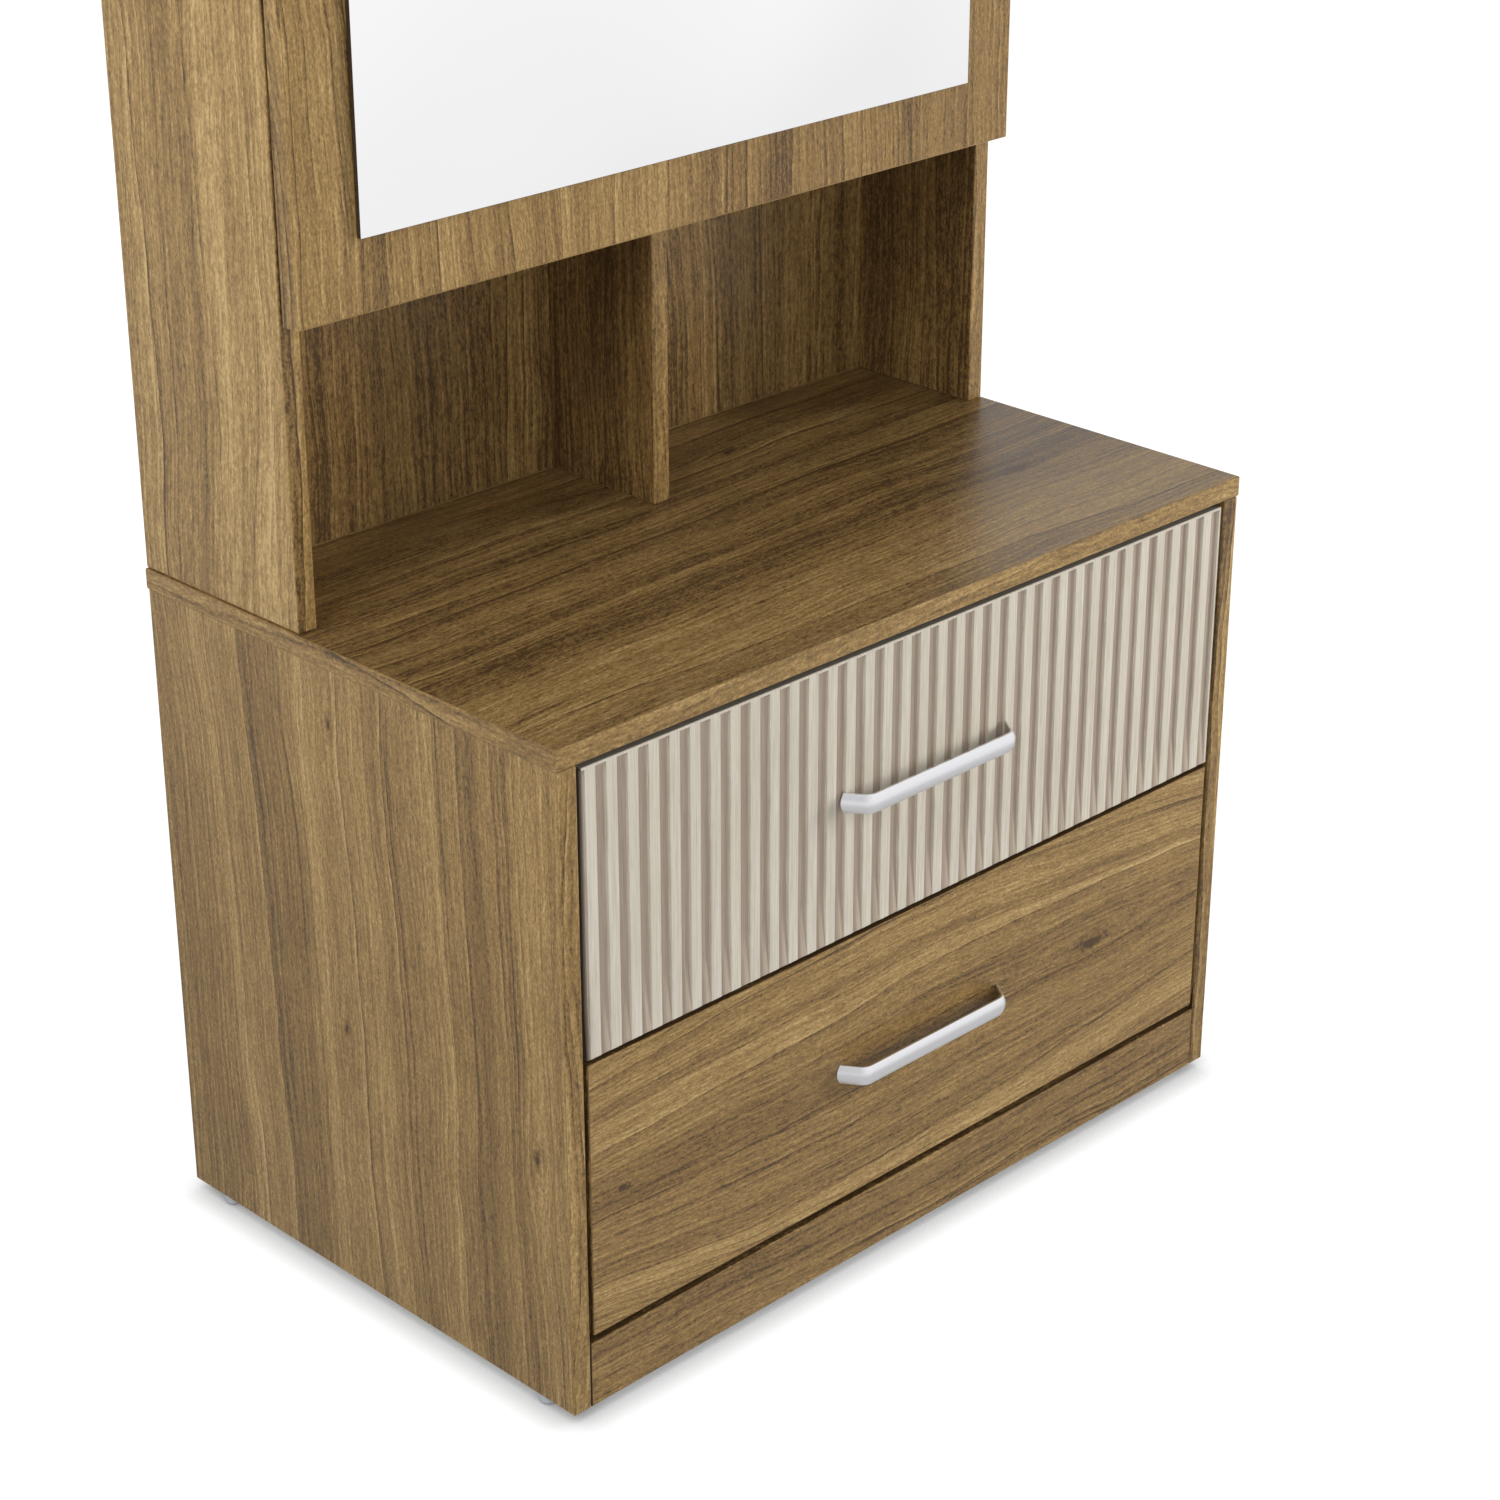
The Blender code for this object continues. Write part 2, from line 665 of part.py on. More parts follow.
def mirror_door():
    """The door with its bonded mirror, its hinges, and the catch that holds it shut."""
    door = carrier("mirror_door", HINGE_AXIS)
    panel = board(
        "door_panel", (-HALF, DOOR_FRONT, DOOR_LOW), (HALF, DOOR_BACK, HUTCH_HIGH), "walnut_laminate", door
    )
    recess_hinges(panel)
    half = HALF - MIRROR_MARGIN
    board(
        "mirror_glass",
        (-half, DOOR_FRONT - SEAM - MIRROR_GLASS, DOOR_LOW + MIRROR_MARGIN),
        (half, DOOR_FRONT - SEAM, HUTCH_HIGH - MIRROR_MARGIN),
        "mirror",
        door,
        MIRROR_ROUND,
    )
    for number, low in enumerate(hinge_levels()):
        hinge(number + 1, low, door)

    middle = CATCH_INSET + CATCH_LENGTH / 2 - INSIDE
    plate_back = DOOR_BACK + SEAM + STRIKE_PLATE
    plate_high = CEILING - SEAM - (CATCH_HEIGHT - STRIKE_HEIGHT) / 2
    board(
        "catch_strike_plate",
        (middle - STRIKE_LENGTH / 2, DOOR_BACK + SEAM, plate_high - STRIKE_HEIGHT),
        (middle + STRIKE_LENGTH / 2, plate_back, plate_high),
        "zinc_steel",
        door,
        SEAM,
    )
    board(
        "door_catch",
        (middle - CATCH_LENGTH / 2, plate_back + SEAM, CEILING - SEAM - CATCH_HEIGHT),
        (middle + CATCH_LENGTH / 2, plate_back + SEAM + CATCH_DEPTH, CEILING - SEAM),
        "catch_plastic",
        None,
        CATCH_ROUND,
    )


for old in list(bpy.data.objects):
    bpy.data.objects.remove(old, do_unlink=True)
PARTS = collection("dresser")
CUTTERS = collection("cutters")

base_cabinet()
glides()
drawer("upper", UPPER_FRONT_LOW, "cream_laminate")
drawer("lower", LOWER_FRONT_LOW, "walnut_laminate")
hutch()
mirror_door()
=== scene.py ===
"""The dresser as it is photographed: finishes for its boards, and fine pieces for the rest.

Metres, +Z up, the front facing -Y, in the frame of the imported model. Boards and sheet metal keep
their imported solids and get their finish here. The fluted front, the strap handles, the mirror and
the door's catch are made again with finer forms. Screws, cam fittings, shelf pins, and the balls and
cages of the slides are added.
"""

import math
from functools import reduce

import bmesh
import bpy
import numpy as np
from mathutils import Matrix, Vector


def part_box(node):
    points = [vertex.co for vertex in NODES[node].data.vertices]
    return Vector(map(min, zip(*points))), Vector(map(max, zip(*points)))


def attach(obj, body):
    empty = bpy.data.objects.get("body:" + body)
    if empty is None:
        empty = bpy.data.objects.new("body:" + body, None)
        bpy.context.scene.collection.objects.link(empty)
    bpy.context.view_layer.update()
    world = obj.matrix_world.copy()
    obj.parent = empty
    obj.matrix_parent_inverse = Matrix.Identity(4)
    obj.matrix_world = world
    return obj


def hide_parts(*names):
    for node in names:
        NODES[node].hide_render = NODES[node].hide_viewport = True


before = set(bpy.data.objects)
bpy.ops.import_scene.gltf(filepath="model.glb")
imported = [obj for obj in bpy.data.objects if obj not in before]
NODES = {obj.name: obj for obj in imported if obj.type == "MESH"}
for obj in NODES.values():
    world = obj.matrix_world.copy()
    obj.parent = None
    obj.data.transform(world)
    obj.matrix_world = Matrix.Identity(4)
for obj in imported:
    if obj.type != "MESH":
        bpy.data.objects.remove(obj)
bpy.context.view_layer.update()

X, Y, Z = range(3)

# Camera: fitted to the corners and edges of the boards in the photograph
CAMERA_PLACE = (-1.8559, -1.8926, 1.6189)
CAMERA_TURN_DEGREES = (65.0, 0.0, -44.98)
CAMERA_LENS = 80.756
CAMERA_SENSOR = 36.0
CAMERA_END = 100

# Light: a plain sky that a gloss sees white, dimmer at its left, and soft lamps all round
HORIZON_LIGHT = 0.22
SKY_LIGHT = 0.12
WHITE = (1.0, 1.0, 1.0, 1.0)
WHITE_LIGHT = 1.0
LEFT_IN_GLOSS = 0.62
LEFT_RUN = (-0.9, -0.1)
# Floor: its shades for the camera and for light that bounces, the reach and fall of the contact
# shadow, and its light in a gloss from near the dresser to far from it
FLOOR_RADIUS = 16.0
FLOOR_SIDES = 96
FLOOR_SEEN = 0.14
FLOOR_COLOUR = 0.40
FLOOR_REACH = 0.034
FLOOR_FALL = 1.05
FLOOR_SAMPLES = 3
FLOOR_IN_GLOSS = (0.60, 1.0)
FLOOR_GLOSS_RUN = (0.6, 2.2)
# Name, place, point aimed at, width and height, watts
LAMPS = (
    ("left_lamp", (-2.25, -0.20, 2.0), (-0.2, 0.0, 1.1), (1.7, 1.1), 47),
    ("front_lamp", (-1.38, -2.96, 1.16), (0.0, 0.0, 0.7), (2.2, 1.6), 41),
    ("right_lamp", (3.17, -1.69, 1.0), (0.0, 0.0, 0.7), (0.9, 1.6), 131),
    ("rear_lamp", (0.6, 3.6, 1.0), (0.0, 0.0, 0.8), (2.4, 1.8), 90),
)

# Meshes: points on a quarter turn of an arris, and how close two points are to be one
ARRIS_POINTS = 4
CELLS_TO_METRE = 1e7
MERGE_REACH = 1e-6

# Laminated boards: edge bands, how squarely a face looks along an axis to be its side, and gloss
BAND_WALL = 0.0010
BAND_JOINT = 0.00014
SQUARE_ON = 0.7
SPECULAR = 0.3

# Bells of a knot of size 1, along and across the grain: how far it pushes, its core and its halo
KNOT_REACH = (0.040, 0.013)
KNOT_CORE = (0.0070, 0.0026)
KNOT_HALO = (0.016, 0.0062)

# Walnut print: cells to the metre along and across the grain, and a shift of the board's seed
FINE_GRAIN = ((8.0, 260.0, 41.0), (45.0, 380.0, 47.0), (190.0, 520.0, 59.0), (380.0, 760.0, 67.0))
PORES = (60.0, 900.0, 53.0)
CLOUDS = (0.6, 9.0, 23.0)
BROAD_STREAKS = (0.9, 62.0, 31.0)
BLOTCHES = (13.0, 16.0, 35.0)
FADES = (2.4, 0.7, 29.0)
# The same for each bend of the grain, and how far it bends in metres
BENDS = (((1.7, 2.4, 0.0), 0.070), ((7.0, 8.0, 5.0), 0.015), ((38.0, 60.0, 8.0), 0.0018))
# Growth rings: how many to the metre, how many they wander over, and a shift of the seed
WIDE_RINGS = (14.0, 3.0, 11.0)
RINGS = (46.0, 5.0, 17.0)
FINE_RINGS = (150.0, 5.0, 19.0)
WALNUT_SHADES = (
    (0.00, (74, 55, 33)),
    (0.22, (112, 87, 52)),
    (0.50, (139, 111, 67)),
    (0.78, (167, 138, 89)),
    (1.00, (190, 162, 112)),
)
BAND_JOINT_SHADE = (70, 50, 28)
# Near black painted at a board's ends as the shade in the gap at its neighbours
END_GAP_PAINTED_SHADE = (44, 32, 18)

# Fluting of the upper drawer front, as in the solid but for its small roundings and its run-out
FLUTE_PITCH = 0.0214
FLUTE_GROOVE = 0.0107
FLUTE_DEPTH = 0.0025
FLUTE_MARGIN = 0.004
FLUTE_RIM = 0.002
FLUTE_RUN = 0.045
FLUTE_RUN_SHARE = 0.1
FLUTE_LEAST = 0.001
FLUTE_ROUND = 0.0004
FLUTE_DRAFT = 0.0001
# Flute bottoms: a mauve-brown tint with painted shade darkest along their left, and the share of the pitch
# over which that shade fades
FLUTE_TINT_AND_PAINTED_SHADE = ((189, 177, 171), (226, 216, 211))
FLUTE_PAINTED_SHADE_RUN = (0.08, 0.30)
LIMED_SHADES = ((0.15, (184, 175, 159)), (0.50, (199, 191, 176)), (0.85, (212, 206, 192)))
# Near black painted on the cream front as the shade in the gaps round it
CREAM_GAP_PAINTED_SHADE = (44, 36, 26)
# Runs of the painted shade for the gaps round the front: in from the ends, back from the face, and in from
# the left end of flutes
END_PAINTED_SHADE = (0.0001, 0.0014)
EDGE_FACE_PAINTED_SHADE = (0.0002, 0.0016)
LEFT_PAINTED_SHADE = (0.0012, 0.0042)
FRONT_ARRIS = 0.0006
GROOVE_DEPTH = 0.007
GROOVE_CLEAR = 0.0003

# Strap handles, as in the solid, and the steps of their mesh
HANDLE_EDGE = 0.002
HANDLE_CROWN = 0.0028
HANDLE_BEND = 0.010
HANDLE_SPLAY = math.radians(34)
HANDLE_ARRIS = 0.0005
HANDLE_HOLE = 0.096
HANDLE_LEG_SHARE = 0.8
BAR_POINTS = 8
BEND_POINTS = 13
SECTION_POINTS = 21

# Rolled slides, as in the solids, and their balls and cages
SLIDE_WALL = 0.0012
SLIDE_OUTER_BALLS = 0.0046
SLIDE_INNER_BALLS = 0.0036
SLIDE_OUTER_START = 0.003
SLIDE_INNER_START = -0.207
BALL_PITCH = 0.0125
BALL_COUNT = 17
BALL_RINGS = 6
BALL_SIDES = 8
BALL_CLEAR = 0.0001
CAGE_SHARE = 0.42
CAGE_END = 0.006
CAGE_HALF = 0.0003
CAGE_ARRIS = 0.00025

# Screw heads: rings and cross in shares of the radius, then the radius and rise of each kind
HEAD_RINGS = (1.0, 0.9, 0.72, 0.60, 0.52, 0.42, 0.30, 0.20, 0.12, 0.0)
HEAD_SIDES = 48
HEAD_SINK = 0.0004
CROSS_SIDE = (0.11, 0.17)
CROSS_TIP = (0.50, 0.58)
CROSS_DEPTH = 0.8
FLUSH_SCREW = (0.0026, 0.0001)
CATCH_SCREW = (0.0026, 0.0005)
HANDLE_SCREW = (0.0042, 0.0021)
CAM = (0.0075, 0.0003)

# Hinge leaves, as in the solids, and the shares of their height at which screws sit
KNUCKLE_WALL = 0.0012
HALF_LEAF_GAP = 0.0002
LEAF_SCREWS = (0.14, 0.5, 0.86)

# Cam fittings of the drawers: how far behind the side's front end, and how high above its foot
CAM_BEHIND = 0.034
CAM_HEIGHTS = (0.050, 0.150)

# Shelf pins: radius and distance from the wall along their outline, and their shares of the depth
PIN_RADIUS = 0.0025
PIN_OUTLINE = (
    (0, 0), (0.0042, 0), (0.0042, 0.0012), (PIN_RADIUS, 0.0016),
    (PIN_RADIUS, 0.0075), (0.0019, 0.0082), (0, 0.0082),
)
PIN_SIDES = 20
SHELF_PINS = (0.2, 0.8)

# Door catch and mirror
CATCH_ROUND = 0.0012
CATCH_SCREW_IN = 0.006
POLE_WALL = 0.0013
POLE_PROUD = 0.0004
POLE_INSET = 0.003
POLE_EDGE = 0.0028
POLE_SHORT = 0.002
POLE_ROUND = 0.0003
MIRROR_ARRIS = 0.0007
# Heights over which the silver's painted reflection darkens it low down
MIRROR_PAINTED_REFLECTION_FADE = (0.85, 1.25)


def colour(shade):
    """Red, green and blue as they show on a screen, 0 to 255, as linear light with an alpha."""
    shown = np.array(shade) / 255
    linear = np.where(shown <= 0.04045, shown / 12.92, ((shown + 0.055) / 1.055) ** 2.4)
    return (*linear.tolist(), 1.0)


# Finishes


class Recipe:
    """A node tree being written. Each call adds a node and gives its output."""

    def __init__(self, tree):
        self.tree = tree

    def add(self, kind, **settings):
        node = self.tree.nodes.new(kind)
        for name, value in settings.items():
            setattr(node, name, value)
        return node

    def feed(self, socket, value):
        if isinstance(value, bpy.types.NodeSocket):
            self.tree.links.new(value, socket)
        else:
            socket.default_value = value

    def feed_all(self, node, values):
        for name, value in values.items():
            self.feed(node.inputs[name], value)

    def fed(self, kind, values, **settings):
        """The first output of a new node, whose first inputs are fed in their order."""
        node = self.add(kind, **settings)
        for socket, value in zip(node.inputs, values):
            self.feed(socket, value)
        return node.outputs[0]

    def group(self, name, values):
        """The outputs of a node group, whose inputs are fed by their names."""
        node = self.add("ShaderNodeGroup", node_tree=bpy.data.node_groups[name])
        self.feed_all(node, values)
        return node.outputs

    def coordinates(self, kind):
        """The parts of a place or a normal."""
        return self.parts(self.add("ShaderNodeTexCoord").outputs[kind])

    def math(self, operation, *values):
        return self.fed("ShaderNodeMath", values, operation=operation)

    def plus(self, *values):
        return reduce(lambda total, value: self.math("ADD", total, value), values)

    def times(self, *values):
        return reduce(lambda total, value: self.math("MULTIPLY", total, value), values)

    def fit(self, value, low, high, new_low=0.0, new_high=1.0, kind="LINEAR"):
        """The value moved from the range low to high onto the new one, and held within it."""
        return self.fed("ShaderNodeMapRange", (value, low, high, new_low, new_high), interpolation_type=kind)

    def vector(self, *parts):
        return self.fed("ShaderNodeCombineXYZ", parts)

    def parts(self, vector):
        node = self.add("ShaderNodeSeparateXYZ")
        self.feed(node.inputs[0], vector)
        return list(node.outputs)

    def noise(self, one, other, cells, detail=1.0, rough=0.5):
        """Smooth noise about 0.5, with so many cells to the metre along two places, and a seed."""
        to_metre_one, to_metre_other, seed = cells
        place = self.vector(self.times(one, to_metre_one), self.times(other, to_metre_other), seed)
        node = self.add("ShaderNodeTexNoise")
        self.feed_all(node, {"Vector": place, "Scale": 1.0, "Detail": detail, "Roughness": rough})
        return node.outputs["Fac"]

    def mix(self, share, one, other, kind="MIX"):
        """Two colours mixed by the other's share. A fixed one is given as it shows on a screen."""
        node = self.add("ShaderNodeMix", data_type="RGBA", blend_type=kind)
        self.feed(node.inputs[0], share)
        for socket, value in zip(node.inputs[6:8], (one, other)):
            self.feed(socket, colour(value) if isinstance(value, tuple) else value)
        return node.outputs[2]

    def ramp(self, value, *stops):
        node = self.add("ShaderNodeValToRGB")
        line = node.color_ramp.elements
        while len(line) < len(stops):
            line.new(1.0)
        for stop, (place, shade) in zip(line, stops):
            stop.position, stop.color = place, colour(shade)
        self.feed(node.inputs[0], value)
        return node.outputs[0]


def group_recipe(name, inputs, outputs, vectors=()):
    """A node group with float and vector inputs and the given outputs, and a recipe to write it with."""
    tree = bpy.data.node_groups.new(name, "ShaderNodeTree")
    for socket, kind in [(word, "Float") for word in inputs] + [(word, "Vector") for word in vectors]:
        tree.interface.new_socket(socket, in_out="INPUT", socket_type="NodeSocket" + kind)
    for socket, kind in outputs:
        tree.interface.new_socket(socket, in_out="OUTPUT", socket_type="NodeSocket" + kind)
    recipe = Recipe(tree)
    return recipe, recipe.add("NodeGroupInput").outputs, recipe.add("NodeGroupOutput")


PRINT_OUTPUTS = (("Color", "Color"), ("Height", "Float"), ("Roughness", "Float"))
WALNUT_INPUTS = ("Along", "Across", "Push", "Core", "Seed", "Slope", "Bow", "Tone")
BOARD_INPUTS = ("Half Along", "Half Across", *WALNUT_INPUTS[2:], "Edge Tone And Shade")
KNOT_INPUTS = ("Along", "Across", "Knot Along", "Knot Across", "Size", "Push", "Core")


def knot_swirl():
    """Node group: one knot. It pushes the grain aside round its place and darkens its core.

    The push is the distance across times a bell of the place, wide along the grain. The core is a
    smaller bell. Both are added to those of the knots before it.
    """
    recipe, given, out = group_recipe("knot_swirl", KNOT_INPUTS, (("Push", "Float"), ("Core", "Float")))
    plus, times = recipe.plus, recipe.times
    beyond = recipe.math("SUBTRACT", given["Along"], given["Knot Along"])
    beside = recipe.math("SUBTRACT", given["Across"], given["Knot Across"])

    def bell(length, width):
        parts = [
            recipe.math("POWER", recipe.math("DIVIDE", part, times(given["Size"], reach)), 2.0)
            for part, reach in ((beyond, length), (beside, width))
        ]
        return recipe.math("EXPONENT", times(plus(*parts), -1.0))

    recipe.feed_all(out, {
        "Push": plus(given["Push"], times(beside, bell(*KNOT_REACH), -0.72)),
        "Core": plus(given["Core"], bell(*KNOT_CORE), times(bell(*KNOT_HALO), 0.35)),
    })


def walnut_print():
    """Node group: the walnut printed on the laminate, at a place along and across its grain.

    The place across is bent by slow noise, by the board's own slope and bow, and by its knots. Wide
    bands, growth lines that are sharp on one side, fibres, specks and pores follow the bent place,
    and their sum is looked up in one ramp from the darkest to the palest brown.
    """
    recipe, given, out = group_recipe("walnut_print", WALNUT_INPUTS, PRINT_OUTPUTS)
    along, across, seed = given["Along"], given["Across"], given["Seed"]
    plus, times, fit = recipe.plus, recipe.times, recipe.fit

    def noise(cells, place, detail=1.0, rough=0.5):
        """Noise about 0 with the given cells, at the place along the grain and the given one across."""
        own = (*cells[:2], plus(seed, cells[2]))
        return plus(recipe.noise(along, place, own, detail, rough), -0.5)

    flow = plus(
        across,
        times(along, given["Slope"]),
        times(along, along, across, given["Bow"]),
        given["Push"],
        *(times(noise(cells, across), reach) for cells, reach in BENDS),
    )

    def growth(density, wave, shift):
        """Where a place lies between two growth lines, and a random number for that ring."""
        phase = plus(times(flow, density), times(noise((0.5, density / 6, shift), flow), wave))
        ring = recipe.math("FLOOR", phase)
        chance = recipe.add("ShaderNodeTexWhiteNoise", noise_dimensions="1D")
        recipe.feed(chance.inputs["W"], plus(ring, seed, shift))
        return recipe.math("FRACT", phase), ring, chance.outputs["Value"]

    def line_at_end(part, sharpness, strength):
        """A dark line just before the next ring, and the pale glow that follows it."""
        line = times(recipe.math("POWER", part, sharpness), strength, -0.58)
        glow = recipe.math("POWER", recipe.math("SUBTRACT", 1.0, part), sharpness / 3)
        return plus(line, times(glow, strength, 0.22))

    part, ring, chance = growth(*WIDE_RINGS)
    zones = times(plus(chance, -0.5), 0.33)
    other = recipe.math("FRACT", times(chance, 7.0))
    edge = line_at_end(part, 36.0, times(other, 1.1))
    zones = plus(zones, times(plus(part, -0.5), plus(other, -0.5), 0.28), edge)
    part, ring, chance = growth(*RINGS)
    fade = fit(noise(FADES, ring), -0.12, 0.08)
    lines = line_at_end(part, 15.0, times(recipe.math("POWER", chance, 1.8), fade, 1.4))
    steps = times(plus(recipe.math("FRACT", times(chance, 13.0)), -0.5), 0.21)
    part, ring, chance = growth(*FINE_RINGS)
    ripples = times(plus(part, -0.5), chance, -0.36)
    fibres, streaks, specks, points = (noise(cells, flow) for cells in FINE_GRAIN)
    pores = fit(noise(PORES, flow), 0.08, 0.20)

    tone = plus(
        0.5, given["Tone"], zones, lines, steps, ripples,
        times(noise(CLOUDS, flow), 0.14),
        times(noise(BROAD_STREAKS, flow, 3.0, 0.6), 0.24),
        times(noise(BLOTCHES, across), 0.17),
        times(fibres, 0.48), times(streaks, 0.58), times(specks, 0.70), times(points, 0.66),
        times(pores, -0.08), times(given["Core"], -0.50),
    )
    recipe.feed_all(out, {
        "Color": recipe.ramp(tone, *WALNUT_SHADES),
        "Height": plus(specks, times(points, 0.8), times(pores, -0.6)),
        "Roughness": fit(plus(streaks, specks), -0.3, 0.3, 0.30, 0.42),
    })


def laminated_board():
    """Node group: a walnut board, with the print on its two faces and bands on its four edges.

    Place and normal come with their parts in the order along, across and through the board. Each
    side of the board has the print laid its own way, and a band shows a fine joint line round it and
    a painted highlight along the arris where it meets a face.
    """
    recipe, given, out = group_recipe("laminated_board", BOARD_INPUTS, PRINT_OUTPUTS, ("Place", "Normal"))
    plus, times = recipe.plus, recipe.times
    along, across, through = recipe.parts(given["Place"])
    facing = [recipe.math("ABSOLUTE", part) for part in recipe.parts(given["Normal"])]

    to_border = recipe.math(
        "MINIMUM",
        recipe.math("SUBTRACT", given["Half Along"], recipe.math("ABSOLUTE", along)),
        recipe.math("SUBTRACT", given["Half Across"], recipe.math("ABSOLUTE", across)),
    )
    upright = recipe.math("GREATER_THAN", facing[2], SQUARE_ON)
    on_face = times(upright, recipe.math("GREATER_THAN", to_border, BAND_WALL))
    on_end = recipe.math("GREATER_THAN", facing[0], SQUARE_ON)
    on_band = recipe.math("SUBTRACT", 1.0, on_face)
    on_wall = times(upright, on_band)

    def choose(share, no, yes):
        return plus(times(recipe.math("SUBTRACT", 1.0, share), no), times(share, yes))

    # The bands' tone, lowered on some boards as painted shade in the gaps round them
    edge_tone_and_shade = plus(given["Edge Tone And Shade"], -0.03)
    # A lighter line on each face along its band: a painted highlight of the arris, gone on boards with dark
    # bands
    arris_painted_highlight = times(on_wall, plus(times(given["Edge Tone And Shade"], 0.25), 0.13))
    printed = recipe.group("walnut_print", {
        "Along": choose(on_end, along, across),
        "Across": choose(on_face, times(through, 0.8), across),
        "Seed": plus(given["Seed"], times(on_band, 4.4), times(on_end, 3.1)),
        **{name: times(given[name], on_face) for name in ("Push", "Core", "Slope", "Bow")},
        "Tone": plus(given["Tone"], times(on_end, 0.16), choose(upright, edge_tone_and_shade, arris_painted_highlight)),
    })
    from_joint = recipe.math("ABSOLUTE", plus(to_border, -BAND_WALL))
    joint = times(recipe.math("LESS_THAN", from_joint, BAND_JOINT), upright)
    recipe.feed_all(out, {
        "Color": recipe.mix(times(joint, 0.5), printed["Color"], BAND_JOINT_SHADE),
        "Height": plus(printed["Height"], times(joint, -1.5)),
        "Roughness": printed["Roughness"],
    })


def new_finish(name):
    """The recipe of a new material, which knows the material and its shader."""
    material = bpy.data.materials.new(name)
    material.use_nodes = True
    recipe = Recipe(material.node_tree)
    recipe.material, recipe.shader = material, material.node_tree.nodes["Principled BSDF"]
    return recipe


def raise_grain(recipe, height, strength, distance):
    """Bumps the surface by a height, of which 1 stands for so many metres."""
    bump = recipe.add("ShaderNodeBump")
    recipe.feed_all(bump, {"Strength": strength, "Distance": distance, "Height": height})
    recipe.feed(recipe.shader.inputs["Normal"], bump.outputs["Normal"])


def laminated(recipe, shade, roughness, height, strength, distance):
    """The material of a laminate with its shade, its roughness and the height of its grain."""
    values = {"Base Color": shade, "Roughness": roughness, "Specular IOR Level": SPECULAR}
    recipe.feed_all(recipe.shader, values)
    raise_grain(recipe, height, strength, distance)
    return recipe.material


def walnut_board(node, grain, seed, slope=0.0, bow=0.0, knots=(), tone=0.0, edge_tone_and_shade=0.0, end_gap_shade=0.0):
    """Dresses a board in walnut laminate whose grain runs along the given axis.

    A knot is its place along and across from the board's middle in metres, and its size. The tones
    make the print, or the bands on its edges, lighter or darker; on boards in shade they are lowered
    as painted shade. An end gap shade is the width of a dark line painted at both ends of the grain as
    the shade in the gap where the board meets its neighbours.
    """
    low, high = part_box(node)
    size, middle = high - low, (high + low) / 2
    through = min((X, Y, Z), key=lambda axis: size[axis])
    across = X + Y + Z - grain - through
    order = (grain, across, through)
    recipe = new_finish(node + "_walnut")
    place = [recipe.plus(part, -centre) for part, centre in zip(recipe.coordinates("Object"), middle)]
    normal = recipe.coordinates("Normal")
    push, core = 0.0, 0.0
    for knot in knots:
        values = (place[grain], place[across], *knot, push, core)
        swirl = recipe.group("knot_swirl", dict(zip(KNOT_INPUTS, values)))
        push, core = swirl["Push"], swirl["Core"]
    board = recipe.group("laminated_board", {
        "Place": recipe.vector(*(place[axis] for axis in order)),
        "Normal": recipe.vector(*(normal[axis] for axis in order)),
        "Half Along": size[grain] / 2, "Half Across": size[across] / 2, "Push": push, "Core": core,
        "Seed": seed, "Slope": slope, "Bow": bow, "Tone": tone, "Edge Tone And Shade": edge_tone_and_shade,
    })
    shade = board["Color"]
    # A dark line painted at both ends of the grain as the shade in the gap at the neighbours
    if end_gap_shade:
        from_middle, end = recipe.math("ABSOLUTE", place[grain]), size[grain] / 2
        shade = recipe.mix(recipe.fit(from_middle, end - end_gap_shade, end - end_gap_shade / 2), shade, END_GAP_PAINTED_SHADE)
    dress(node, laminated(recipe, shade, board["Roughness"], board["Height"], 0.25, 0.00025))


def dress(node, material):
    """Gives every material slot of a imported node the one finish."""
    for slot in NODES[node].material_slots:
        slot.material = material


